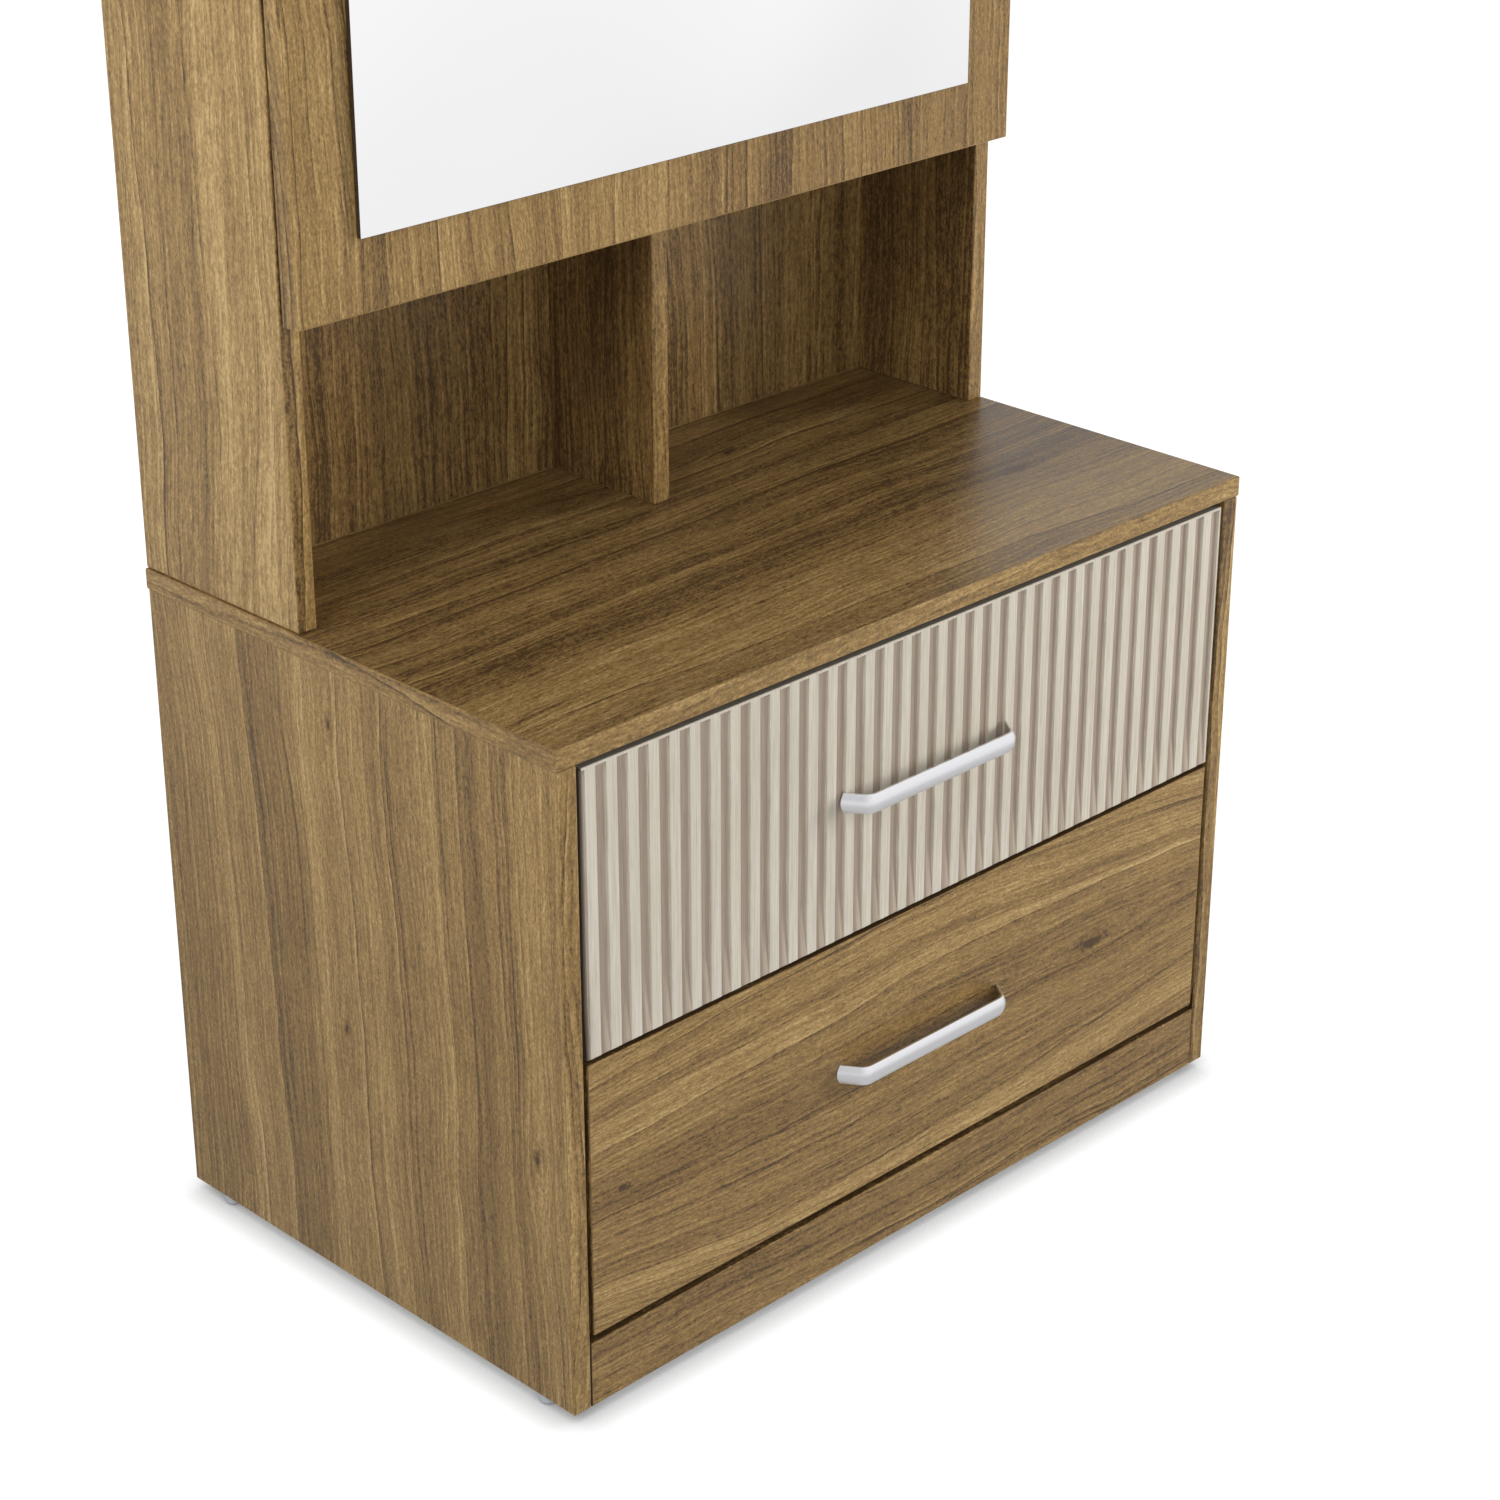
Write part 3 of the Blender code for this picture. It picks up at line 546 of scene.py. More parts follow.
def cream_laminate(low, high):
    """A pale limed wood print with fine upright streaks, mauve-brown in the bottoms of the flutes.

    The flutes' bottoms are darkest along their left, as painted shade. The ends, the faces above and below
    near the front, and the left end of the flutes are painted near black as the shade in the gaps round the
    board.
    """
    recipe = new_finish("cream_laminate")
    x, y, z = recipe.coordinates("Object")
    times, plus, noise, fit = recipe.times, recipe.plus, recipe.noise, recipe.fit
    side = plus(x, times(y, 0.7))
    bent = plus(side, times(plus(noise(z, side, (5.0, 12.0, 2.0)), -0.5), 0.006))
    streaks = noise(z, bent, (16.0, 640.0, 5.0), 2.0, 0.6)
    wide = noise(z, bent, (5.0, 130.0, 9.0))
    pores = fit(noise(z, bent, (60.0, 1300.0, 13.0)), 0.56, 0.70)
    tone = plus(fit(streaks, 0.2, 0.8, 0.0, 0.75), fit(wide, 0.3, 0.7, 0.0, 0.25))
    shade = recipe.ramp(tone, *LIMED_SHADES)
    behind = plus(y, -low.y)
    from_groove = plus(x, -low.x - FLUTE_MARGIN + FLUTE_GROOVE)
    phase = recipe.math("FRACT", recipe.math("DIVIDE", from_groove, FLUTE_PITCH))
    ends = FLUTE_DRAFT / FLUTE_PITCH, FLUTE_ROUND / FLUTE_PITCH
    in_flute = times(
        fit(phase, *ends),
        fit(phase, *(FLUTE_GROOVE / FLUTE_PITCH - end for end in ends)),
        recipe.math("LESS_THAN", behind, 1.2 * FLUTE_DEPTH),
        recipe.math("LESS_THAN", z, high.z - FLUTE_RIM),
    )
    # Mauve-brown tint in the flutes, darkened towards their left as painted shade
    flute_tint_and_shade = recipe.mix(fit(phase, *FLUTE_PAINTED_SHADE_RUN), *FLUTE_TINT_AND_PAINTED_SHADE)
    shade = recipe.mix(in_flute, shade, recipe.mix(1.0, shade, flute_tint_and_shade, "MULTIPLY"))
    # Painted shade, near black, for the gaps: at the ends, on the faces above and below near the front, and
    # at the left end of the flutes
    from_middle = recipe.math("ABSOLUTE", plus(x, -(low.x + high.x) / 2))
    from_end = recipe.math("SUBTRACT", (high.x - low.x) / 2, from_middle)
    end_shade = fit(from_end, *END_PAINTED_SHADE, 0.92, 0.0)
    upward = recipe.math("ABSOLUTE", recipe.coordinates("Normal")[Z])
    edge_face_shade = times(recipe.math("GREATER_THAN", upward, SQUARE_ON), fit(behind, *EDGE_FACE_PAINTED_SHADE, 0.0, 0.62))
    left_shade = times(in_flute, fit(plus(x, -low.x), *LEFT_PAINTED_SHADE, 0.85, 0.0))
    painted_edge_shade = recipe.math("MAXIMUM", end_shade, recipe.math("MAXIMUM", edge_face_shade, left_shade))
    shade = recipe.mix(painted_edge_shade, shade, CREAM_GAP_PAINTED_SHADE)
    light = plus(1.0, times(pores, -0.10))
    shade = recipe.mix(1.0, shade, recipe.vector(light, light, light), "MULTIPLY")
    grain = plus(streaks, times(pores, -0.8))
    return laminated(recipe, shade, fit(streaks, 0.2, 0.8, 0.50, 0.62), grain, 0.2, 0.0002)


def grained(recipe, shade, grain, rough, metallic=0.0, raised=None):
    """The material with its shade, a roughness that follows the grain, and a bump if one is given."""
    roughness = recipe.fit(grain, 0.3, 0.7, *rough)
    recipe.feed_all(recipe.shader, {"Base Color": shade, "Roughness": roughness, "Metallic": metallic})
    if raised:
        raise_grain(recipe, grain, *raised)
    return recipe.material


def box_laminate():
    """White melamine of the drawer boxes, with a faint grain of fine pits."""
    recipe = new_finish("box_laminate")
    x, y, z = recipe.coordinates("Object")
    side = recipe.plus(x, z)
    pits = recipe.noise(y, side, (300.0, 700.0, 3.0), 2.0)
    clouds = recipe.noise(y, side, (4.0, 9.0, 8.0))
    shade = recipe.ramp(clouds, (0.3, (216, 213, 206)), (0.7, (224, 222, 216)))
    return grained(recipe, shade, pits, (0.44, 0.56), raised=(0.15, 0.0002))


def satin_metal():
    """Satin nickel of the handles, finely brushed along the bar."""
    recipe = new_finish("satin_metal")
    x, y, z = recipe.coordinates("Object")
    brushed = recipe.noise(x, recipe.plus(y, z), (60.0, 2600.0, 4.0), 2.0)
    shade = recipe.ramp(brushed, (0.3, (232, 232, 235)), (0.7, (242, 242, 245)))
    return grained(recipe, shade, brushed, (0.32, 0.40), 1.0, (0.08, 0.0001))


def zinc_steel():
    """Zinc-plated steel: soft clouds of grey, fine rolling marks, and painted shade, near black, in the
    cross recesses of screw heads.
    """
    recipe = new_finish("zinc_steel")
    x, y, z = recipe.coordinates("Object")
    side = recipe.plus(x, z)
    marks = recipe.noise(y, side, (40.0, 1500.0, 6.0), 2.0)
    clouds = recipe.noise(y, side, (60.0, 60.0, 2.0), 3.0)
    shade = recipe.ramp(clouds, (0.3, (176, 180, 186)), (0.7, (202, 205, 208)))
    # Near black where a screw head's cross recess is: painted shade
    recess = recipe.add("ShaderNodeAttribute", attribute_name="recess").outputs["Fac"]
    shade = recipe.mix(recess, shade, (38, 38, 40))
    return grained(recipe, shade, marks, (0.26, 0.42), 1.0, (0.06, 0.0001))


def mirror_silver():
    """The silvered face of the mirror, with a painted reflection that makes it a little darker low down, and
    the faintest unevenness.
    """
    recipe = new_finish("mirror_silver")
    x, _, z = recipe.coordinates("Object")
    waves = recipe.noise(x, z, (3.0, 3.0, 1.0))
    tone = recipe.plus(recipe.fit(z, *MIRROR_PAINTED_REFLECTION_FADE), waves, -0.5)
    shade = recipe.ramp(tone, (0.1, (237, 237, 238)), (0.8, (252, 252, 253)))
    recipe.feed_all(recipe.shader, {"Base Color": shade, "Roughness": 0.0, "Metallic": 1.0})
    return recipe.material


def glass_edge_and_shade():
    """The painted edge of the mirror's glass, dark brown and glossy. The dark brown is also painted shade
    along the mirror's edge.
    """
    recipe = new_finish("glass_edge_and_shade")
    x, y, z = recipe.coordinates("Object")
    ground = recipe.noise(recipe.plus(x, z), y, (300.0, 2000.0, 1.0), 2.0)
    shade = recipe.ramp(ground, (0.3, (44, 34, 24)), (0.7, (62, 50, 37)))
    return grained(recipe, shade, ground, (0.16, 0.3))


def moulded_plastic(name, dark, light):
    """A moulded plastic with a fine matt grain."""
    recipe = new_finish(name)
    x, y, z = recipe.coordinates("Object")
    grain = recipe.noise(recipe.plus(x, y), z, (900.0, 900.0, 2.0), 2.0)
    shade = recipe.ramp(grain, (0.3, dark), (0.7, light))
    return grained(recipe, shade, grain, (0.42, 0.56), raised=(0.12, 0.0002))


# Light, floor and camera


def in_scene(name, data):
    """A new object in the scene, with its data."""
    thing = bpy.data.objects.new(name, data)
    bpy.context.scene.collection.objects.link(thing)
    return thing


def studio_world():
    """White where the camera, a gloss or glass sees it, and a plain soft light for the rest."""
    world = bpy.data.worlds.new("studio")
    bpy.context.scene.world = world
    world.use_nodes = True
    recipe = Recipe(world.node_tree)
    world.node_tree.nodes.clear()
    toward = recipe.coordinates("Generated")
    path = recipe.add("ShaderNodeLightPath").outputs
    seen = recipe.math("MAXIMUM", path["Is Camera Ray"], path["Is Glossy Ray"])
    seen = recipe.math("MAXIMUM", seen, path["Is Transmission Ray"])
    leftward = recipe.fit(toward[X], *LEFT_RUN, WHITE_LIGHT - LEFT_IN_GLOSS, 0.0)
    dimmed = recipe.times(path["Is Glossy Ray"], leftward)
    seen_light = recipe.math("SUBTRACT", WHITE_LIGHT, dimmed)
    sky_light = recipe.fit(toward[Z], 0.0, 1.0, HORIZON_LIGHT, SKY_LIGHT)
    skies = [recipe.fed("ShaderNodeBackground", (WHITE, light)) for light in (sky_light, seen_light)]
    sky = recipe.fed("ShaderNodeMixShader", (seen, *skies))
    recipe.feed(recipe.add("ShaderNodeOutputWorld").inputs["Surface"], sky)


def white_floor():
    """A round white floor that keeps the dresser's contact shadow.

    The camera sees its own light added to the floor's shading, so it is white except where the
    dresser keeps light off it. A gloss sees a plain light, dimmer near the dresser.
    """
    turn = np.linspace(0, 2 * math.pi, FLOOR_SIDES, endpoint=False)
    rim = FLOOR_RADIUS * np.column_stack((np.cos(turn), np.sin(turn), 0 * turn))
    mesh = bpy.data.meshes.new("floor")
    mesh.from_pydata(rim.tolist(), [], [list(range(len(rim)))])
    floor = in_scene("floor", mesh)
    recipe = new_finish("floor_white")
    nodes = recipe.tree.nodes
    nodes.remove(recipe.shader)
    path = recipe.add("ShaderNodeLightPath").outputs
    level = recipe.fit(path["Is Camera Ray"], 0.0, 1.0, FLOOR_COLOUR, FLOOR_SEEN)
    shaded = recipe.fed("ShaderNodeBsdfDiffuse", [recipe.vector(level, level, level)])
    open_to_sky = recipe.add("ShaderNodeAmbientOcclusion", samples=FLOOR_SAMPLES)
    open_to_sky.inputs["Distance"].default_value = FLOOR_REACH
    open_share = recipe.math("POWER", open_to_sky.outputs["AO"], FLOOR_FALL)
    own_light = recipe.times(open_share, path["Is Camera Ray"])
    lift = recipe.fed("ShaderNodeEmission", (WHITE, own_light))
    both = recipe.fed("ShaderNodeAddShader", (shaded, lift))
    x, y, _ = recipe.coordinates("Object")
    away = recipe.math("SQRT", recipe.plus(recipe.times(x, x), recipe.times(y, y)))
    gloss_light = recipe.fit(away, *FLOOR_GLOSS_RUN, *FLOOR_IN_GLOSS, "SMOOTHSTEP")
    plain = recipe.fed("ShaderNodeEmission", (WHITE, gloss_light))
    glossy = recipe.math("MAXIMUM", path["Is Glossy Ray"], path["Is Transmission Ray"])
    seen = recipe.fed("ShaderNodeMixShader", (glossy, both, plain))
    recipe.feed(nodes["Material Output"].inputs["Surface"], seen)
    mesh.materials.append(recipe.material)


def lamps():
    """Soft rectangular lamps, each turned to its aim. A gloss doesn't show them."""
    for name, place, aim, (width, height), watts in LAMPS:
        lamp = bpy.data.lights.new(name, "AREA")
        lamp.shape = "RECTANGLE"
        lamp.size, lamp.size_y, lamp.energy = width, height, watts
        holder = in_scene(name, lamp)
        holder.visible_glossy = False
        holder.location = place
        holder.rotation_euler = (Vector(aim) - Vector(place)).to_track_quat("-Z", "Y").to_euler()


def camera():
    """The camera of the photograph."""
    data = bpy.data.cameras.new("camera")
    data.lens, data.sensor_width = CAMERA_LENS, CAMERA_SENSOR
    data.sensor_fit = "HORIZONTAL"
    data.clip_end = CAMERA_END
    holder = in_scene("camera", data)
    holder.location = CAMERA_PLACE
    holder.rotation_euler = [math.radians(turn) for turn in CAMERA_TURN_DEGREES]
    bpy.context.scene.camera = holder


# Pieces


def make_piece(name, points, faces, body, finishes, replaced=(), which=None, normals=None):
    """A mesh from points and faces, with its finishes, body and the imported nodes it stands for.

    which gives each face's number in the list of finishes, and normals each point's own normal.
    """
    mesh = bpy.data.meshes.new(name)
    mesh.from_pydata(np.asarray(points).tolist(), [], [list(map(int, face)) for face in faces])
    for material in finishes:
        mesh.materials.append(material)
    if which is not None:
        mesh.polygons.foreach_set("material_index", np.asarray(which, dtype=np.int32))
    if normals is not None:
        mesh.shade_smooth()
        mesh.normals_split_custom_set_from_vertices(np.asarray(normals).tolist())
    mesh.update()
    piece = in_scene(name, mesh)
    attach(piece, body)
    if replaced:
        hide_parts(*replaced)
    return piece


def smooth(piece, degrees):
    """Shades a piece smooth, but sharp where two faces turn by more than so many degrees."""
    piece.data.shade_smooth()
    piece.data.set_sharp_from_angle(angle=math.radians(degrees))


def grid_faces(rows, columns, closed):
    """Quads between neighbouring rows of points; the columns close on themselves if asked."""
    row, column = np.meshgrid(np.arange(rows - 1), np.arange(columns - (not closed)), indexing="ij")
    beside = (column + 1) % columns
    corners = (row * columns + column, row * columns + beside)
    above = (corners[1] + columns, corners[0] + columns)
    return np.stack((*corners, *above), axis=-1).reshape(-1, 4)


def rounded_box(low, high, radius, steps=3):
    """Points, quads, sides and normals of a box whose edges and corners are round.

    A grid covers each side of the box. Each of its points is set one radius away from the nearest
    point of the box shrunk by the radius, so flats stay flat and edges become arcs.
    """
    low, high = np.array(low, float), np.array(high, float)
    arc = radius * np.tan(np.linspace(0, math.pi / 4, steps + 1))
    points, normals, quads, sides = [], [], [], []
    for axis in (X, Y, Z):
        first, second = (axis + 1) % 3, (axis + 2) % 3
        lines = [
            np.concatenate((low[one] + radius - arc[::-1], high[one] - radius + arc))
            for one in (first, second)
        ]
        across, up = np.meshgrid(*lines, indexing="ij")
        for side, level in enumerate((low[axis], high[axis])):
            sharp = np.empty(across.shape + (3,))
            sharp[..., first], sharp[..., second], sharp[..., axis] = across, up, level
            inner = np.clip(sharp, low + radius, high - radius)
            out = sharp - inner
            out /= np.linalg.norm(out, axis=-1, keepdims=True)
            faces = grid_faces(*across.shape, False)
            if side == 1:
                faces = faces[:, ::-1]
            quads.append(faces + sum(map(len, points)))
            points.append((inner + radius * out).reshape(-1, 3))
            normals.append(out.reshape(-1, 3))
            sides += [2 * axis + side] * len(faces)
    points, normals, quads = map(np.concatenate, (points, normals, quads))
    cells = np.round(points * CELLS_TO_METRE).astype(int)
    _, kept, place = np.unique(cells, axis=0, return_index=True, return_inverse=True)
    return points[kept], place.reshape(-1)[quads], np.array(sides), normals[kept]


def fluted_front(finish):
    """The upper drawer front: upright flutes that stop under a rim and grow shallow at its lower edge.

    The front sheet's depth is a function of the place across and of the height, and the rear sheet
    has the groove for the drawer's bottom. Both share one list of places across.
    """
    low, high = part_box("upper_drawer_front")
    bottom_low, bottom_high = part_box("upper_drawer_bottom")
    first = low[X] + FLUTE_MARGIN
    count = math.floor((high[X] - low[X] - FLUTE_MARGIN - FLUTE_LEAST) / FLUTE_PITCH)
    rights = first + FLUTE_PITCH * np.arange(1, count + 1)
    lefts = rights - FLUTE_GROOVE
    bend = np.linspace(0, math.pi / 2, ARRIS_POINTS)
    edge = FLUTE_ROUND * (np.sin(bend) - 1)
    fall = FLUTE_ROUND * (1 - np.cos(bend))
    mouth = np.concatenate((edge, [FLUTE_DRAFT, FLUTE_DRAFT + FLUTE_ROUND / 2]))
    drop = np.concatenate((fall, [FLUTE_DEPTH - FLUTE_ROUND / 2, FLUTE_DEPTH]))
    groove_x = np.concatenate((lefts[:, None] + mouth, rights[:, None] - mouth[::-1]), axis=1).ravel()
    groove_y = np.tile([*drop, *drop[::-1]], count)
    inset = FRONT_ARRIS
    # The first groove is open to the board's left edge
    left_x = np.concatenate(([low[X], low[X] + inset], first - mouth[::-1]))
    left_y = np.concatenate(([FLUTE_DEPTH, FLUTE_DEPTH], drop[::-1]))
    place_x = np.concatenate((left_x, groove_x, [high[X] - inset, high[X]]))
    flute_y = np.concatenate((left_y, groove_y, [0, inset]))
    rim_y = np.zeros_like(place_x)
    rim_y[[0, -1]] = inset
    slot_x = np.array([bottom_low[X] - GROOVE_CLEAR, bottom_high[X] + GROOVE_CLEAR])
    sliver = FLUTE_DRAFT
    extra = np.array([slot_x[0], slot_x[0] + sliver, slot_x[1] - sliver, slot_x[1]])
    order = np.argsort(np.concatenate((place_x, extra)))
    flute_y = np.concatenate((flute_y, np.interp(extra, place_x, flute_y)))[order]
    rim_y = np.concatenate((rim_y, np.interp(extra, place_x, rim_y)))[order]
    place_x = np.concatenate((place_x, extra))[order]
    in_slot = (place_x > slot_x[0] + sliver / 2) & (place_x < slot_x[1] - sliver / 2)

    slot_z = (bottom_low[Z] - GROOVE_CLEAR, bottom_high[Z] + GROOVE_CLEAR)
    ledge = high[Z] - FLUTE_RIM
    # Height, whether it has flutes, arris at the ends, share of the slot's depth
    rows = (
        (low[Z], 1, inset, 0),
        (low[Z] + inset, 1, 0, 0),
        (slot_z[0], 1, 0, 0),
        (slot_z[0] + sliver, 1, 0, 1),
        (slot_z[1] - sliver, 1, 0, 1),
        (slot_z[1], 1, 0, 0),
        (low[Z] + FLUTE_RUN, 1, 0, 0),
        (ledge - sliver, 1, 0, 0),
        (ledge, 0, 0, 0),
        (high[Z] - inset, 0, 0, 0),
        (high[Z], 0, inset, 0),
    )
    points = []
    for height, fluted, arris, slotted in rows:
        share = fluted * np.interp(height, (low[Z], low[Z] + FLUTE_RUN), (FLUTE_RUN_SHARE, 1))
        front = low[Y] + arris + rim_y + share * (flute_y - rim_y)
        rear = high[Y] - arris - slotted * in_slot * GROOVE_DEPTH
        rear = rear - np.where((place_x <= low[X]) | (place_x >= high[X]), inset, 0) * (arris == 0)
        level = np.full_like(place_x, height)
        points.append(np.column_stack((place_x, front, level)))
        points.append(np.column_stack((place_x, rear, level))[::-1])
    ring = 2 * len(place_x)
    points = np.concatenate(points)
    faces = grid_faces(len(rows), ring, True)
    step = np.arange(len(place_x) - 1)
    cap = np.stack((step, ring - 1 - step, ring - 2 - step, step + 1), axis=-1)
    lid = cap[:, ::-1] + ring * (len(rows) - 1)
    faces = np.concatenate((faces, cap, lid))
    name, node = "fluted_front", "upper_drawer_front"
    smooth(make_piece(name, points, faces, "upper_drawer", [finish], [node]), 10)


def strap_handle(level, finish):
    """A bent strap: its section is carried along a bar, two arcs and two splayed legs.

    The section is flat inside and a parabola outside, with small round arrises, and each foot is
    cut flat where the leg's own line meets the plane of the drawer front.
    """
    node = level + "_drawer_handle"
    low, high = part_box(node)
    middle = (low + high) / 2
    length, reach, height = high - low
    thick = HANDLE_EDGE + HANDLE_CROWN
    slant = math.tan(HANDLE_SPLAY)
    bar = thick - reach
    foot = length / 2 - thick / math.cos(HANDLE_SPLAY)
    leg = -bar - HANDLE_BEND * (1 - math.sin(HANDLE_SPLAY))
    half_bar = foot - leg * slant - HANDLE_BEND * math.cos(HANDLE_SPLAY)
    turn = np.linspace(0, math.pi / 2 - HANDLE_SPLAY, BEND_POINTS)
    arc_x = half_bar + HANDLE_BEND * np.sin(turn)
    arc_y = bar + HANDLE_BEND * (1 - np.cos(turn))
    arc = np.column_stack((arc_x, arc_y, np.sin(turn), -np.cos(turn)))
    end = arc[-1].copy()
    end[:2] += HANDLE_LEG_SHARE * leg * np.array([slant, 1])
    between = np.linspace(0, half_bar, BAR_POINTS)[:-1, None] * [1, 0, 0, 0] + [0, bar, 0, -1]
    half = np.concatenate((between, arc, [end]))
    path = np.concatenate((half[:0:-1] * [-1, 1, -1, 1], half))

    across = np.linspace(-1, 1, SECTION_POINTS)
    outer = np.column_stack((HANDLE_EDGE + HANDLE_CROWN * (1 - across**2), across * (height / 2)))
    bend = np.linspace(0, math.pi / 2, ARRIS_POINTS)
    arris = HANDLE_ARRIS * np.column_stack((1 - np.sin(bend), 1 - np.cos(bend)))
    corner = arris * [1, -1] + [0, height / 2]
    section = np.concatenate((outer, corner, corner[::-1] * [1, -1]))

    points = np.empty((len(path), len(section), 3))
    points[..., :Z] = path[:, None, :2] + section[None, :, :1] * path[:, None, 2:]
    points[..., Z] = section[None, :, 1]
    for row, side in ((0, -1), (-1, 1)):
        points[row, :, X] -= side * slant * points[row, :, Y]
        points[row, :, Y] = 0
    points += (middle.x, high[Y], middle.z)
    columns = len(section)
    faces = grid_faces(len(path), columns, True)
    rim = np.arange(columns)
    caps = [rim[::-1], rim + columns * (len(path) - 1)]
    name, body = level + "_strap_handle", level + "_drawer"
    points = points.reshape(-1, 3)
    piece = make_piece(name, points, [*faces, *caps], body, [finish], [node])
    clean_up(piece)
    smooth(piece, 50)


def clean_up(piece):
    """Merges doubled points and turns the faces of a closed mesh outwards."""
    form = bmesh.new()
    form.from_mesh(piece.data)
    bmesh.ops.remove_doubles(form, verts=form.verts, dist=MERGE_REACH)
    bmesh.ops.recalc_face_normals(form, faces=form.faces)
    form.to_mesh(piece.data)
    form.free()


def mirror(silver, edge, backing):
    """The bonded mirror: a silvered face, ground edges with a small arris, and a painted back."""
    low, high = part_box("mirror_glass")
    points, faces, sides, normals = rounded_box(low, high, MIRROR_ARRIS)
    finish_of_side = np.array([1, 1, 0, 2, 1, 1])
    make_piece(
        "mirror", points, faces, "mirror_door", [silver, edge, backing], ["mirror_glass"],
        finish_of_side[sides], normals,
    )


def turned(profile, steps):
    """Points and faces of a profile of (radius, height) turned round Z. Both its ends are on the axis."""
    profile = np.array(profile, float)
    turn = np.linspace(0, 2 * math.pi, steps, endpoint=False)
    radius, height = profile[1:-1, :1], profile[1:-1, 1:]
    rings = np.stack((radius * np.cos(turn), radius * np.sin(turn), height + 0 * turn), axis=-1)
    points = np.concatenate(([[0, 0, profile[0, 1]]], rings.reshape(-1, 3), [[0, 0, profile[-1, 1]]]))
    step = np.arange(steps)
    beside = (step + 1) % steps
    last = 1 + steps * (len(profile) - 3)
    base = np.stack((np.zeros_like(step), 1 + beside, 1 + step), axis=-1)
    top = np.stack((np.full_like(step, len(points) - 1), last + step, last + beside), axis=-1)
    return points, [*base, *(grid_faces(len(profile) - 2, steps, True) + 1), *top]


def cross_head(radius, rise, sink):
    """A domed screw head with a cross recess: points, faces and each point's share of the recess.

    Height is the dome, rise times one less the square of the share of the radius, less the recess.
    The recess is deep where a point is near one arm of the cross and within the arm's length.
    """
    share = np.array(HEAD_RINGS)
    dome = np.column_stack((radius * share, rise * (1 - share**2)))
    points, faces = turned([(0, -sink), (radius, -sink), *dome], HEAD_SIDES)
    across, along = np.sort(np.abs(points[:, :2]) / radius, axis=1).T
    in_cross = np.interp(across, CROSS_SIDE, (1, 0)) * np.interp(along, CROSS_TIP, (1, 0))
    recess = in_cross * (points[:, Z] > -sink / 2)
    points[:, Z] -= recess * rise * CROSS_DEPTH
    return points, faces, recess


def repeated(points, faces, places, axis, toward):
    """The same form at many places, its Z turned to the given axis and direction."""
    first, second = (axis + 1) % 3, (axis + 2) % 3
    laid = np.empty_like(points)
    laid[:, axis] = toward * points[:, Z]
    laid[:, first] = toward * points[:, X]
    laid[:, second] = points[:, Y]
    places = np.array(places, float)
    points = (places[:, None, :] + laid).reshape(-1, 3)
    shifts = len(laid) * np.arange(len(places))
    return points, [[corner + shift for corner in face] for shift in shifts for face in faces]


def screw_heads(name, places, axis, toward, radius, rise, body, finish):
    """Cross-headed screws at the given places, facing along an axis."""
    points, faces, recess = cross_head(radius, rise, min(rise, HEAD_SINK))
    points, faces = repeated(points, faces, places, axis, toward)
    piece = make_piece(name, points, faces, body, [finish])
    # Each point's share of the cross recess, painted near black as shade by the zinc finish
    mark = piece.data.attributes.new("recess", "FLOAT", "POINT")
    mark.data.foreach_set("value", np.tile(recess, len(places)))
    smooth(piece, 40)


def hinge_screws(finish):
    """Three flush screws in each hinge leaf, on the faces that meet when the door is shut."""
    for leaf, toward, body in (("fixed", -1, "root"), ("moving", 1, "mirror_door")):
        places = []
        for number in (1, 2, 3):
            low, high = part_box(f"hinge_leaf_{leaf}_{number}")
            pin_low, pin_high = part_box(f"hinge_pin_{number}")
            middle = (low.x + pin_low.x - KNUCKLE_WALL) / 2
            face = (pin_low.y + pin_high.y) / 2 - toward * HALF_LEAF_GAP
            places += [(middle, face, low.z + share * (high.z - low.z)) for share in LEAF_SCREWS]
        screw_heads(f"hinge_screws_{leaf}", places, Y, toward, *FLUSH_SCREW, body, finish)


def drawer_fittings(level, finish):
    """The handle's two screws behind the front, and the cam fittings inside the box sides."""
    front_low, front_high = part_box(level + "_drawer_front")
    middle = (front_low.z + front_high.z) / 2
    body = level + "_drawer"
    places = [(side * HANDLE_HOLE, front_high.y, middle) for side in (-1, 1)]
    screw_heads(level + "_handle_screws", places, Y, 1, *HANDLE_SCREW, body, finish)
    for side, word in ((-1, "left"), (1, "right")):
        low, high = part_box(f"{level}_drawer_side_{word}")
        inner = high.x if side < 0 else low.x
        places = [(inner, low.y + CAM_BEHIND, low.z + rise) for rise in CAM_HEIGHTS]
        screw_heads(f"{level}_drawer_cams_{word}", places, X, -side, *CAM, body, finish)


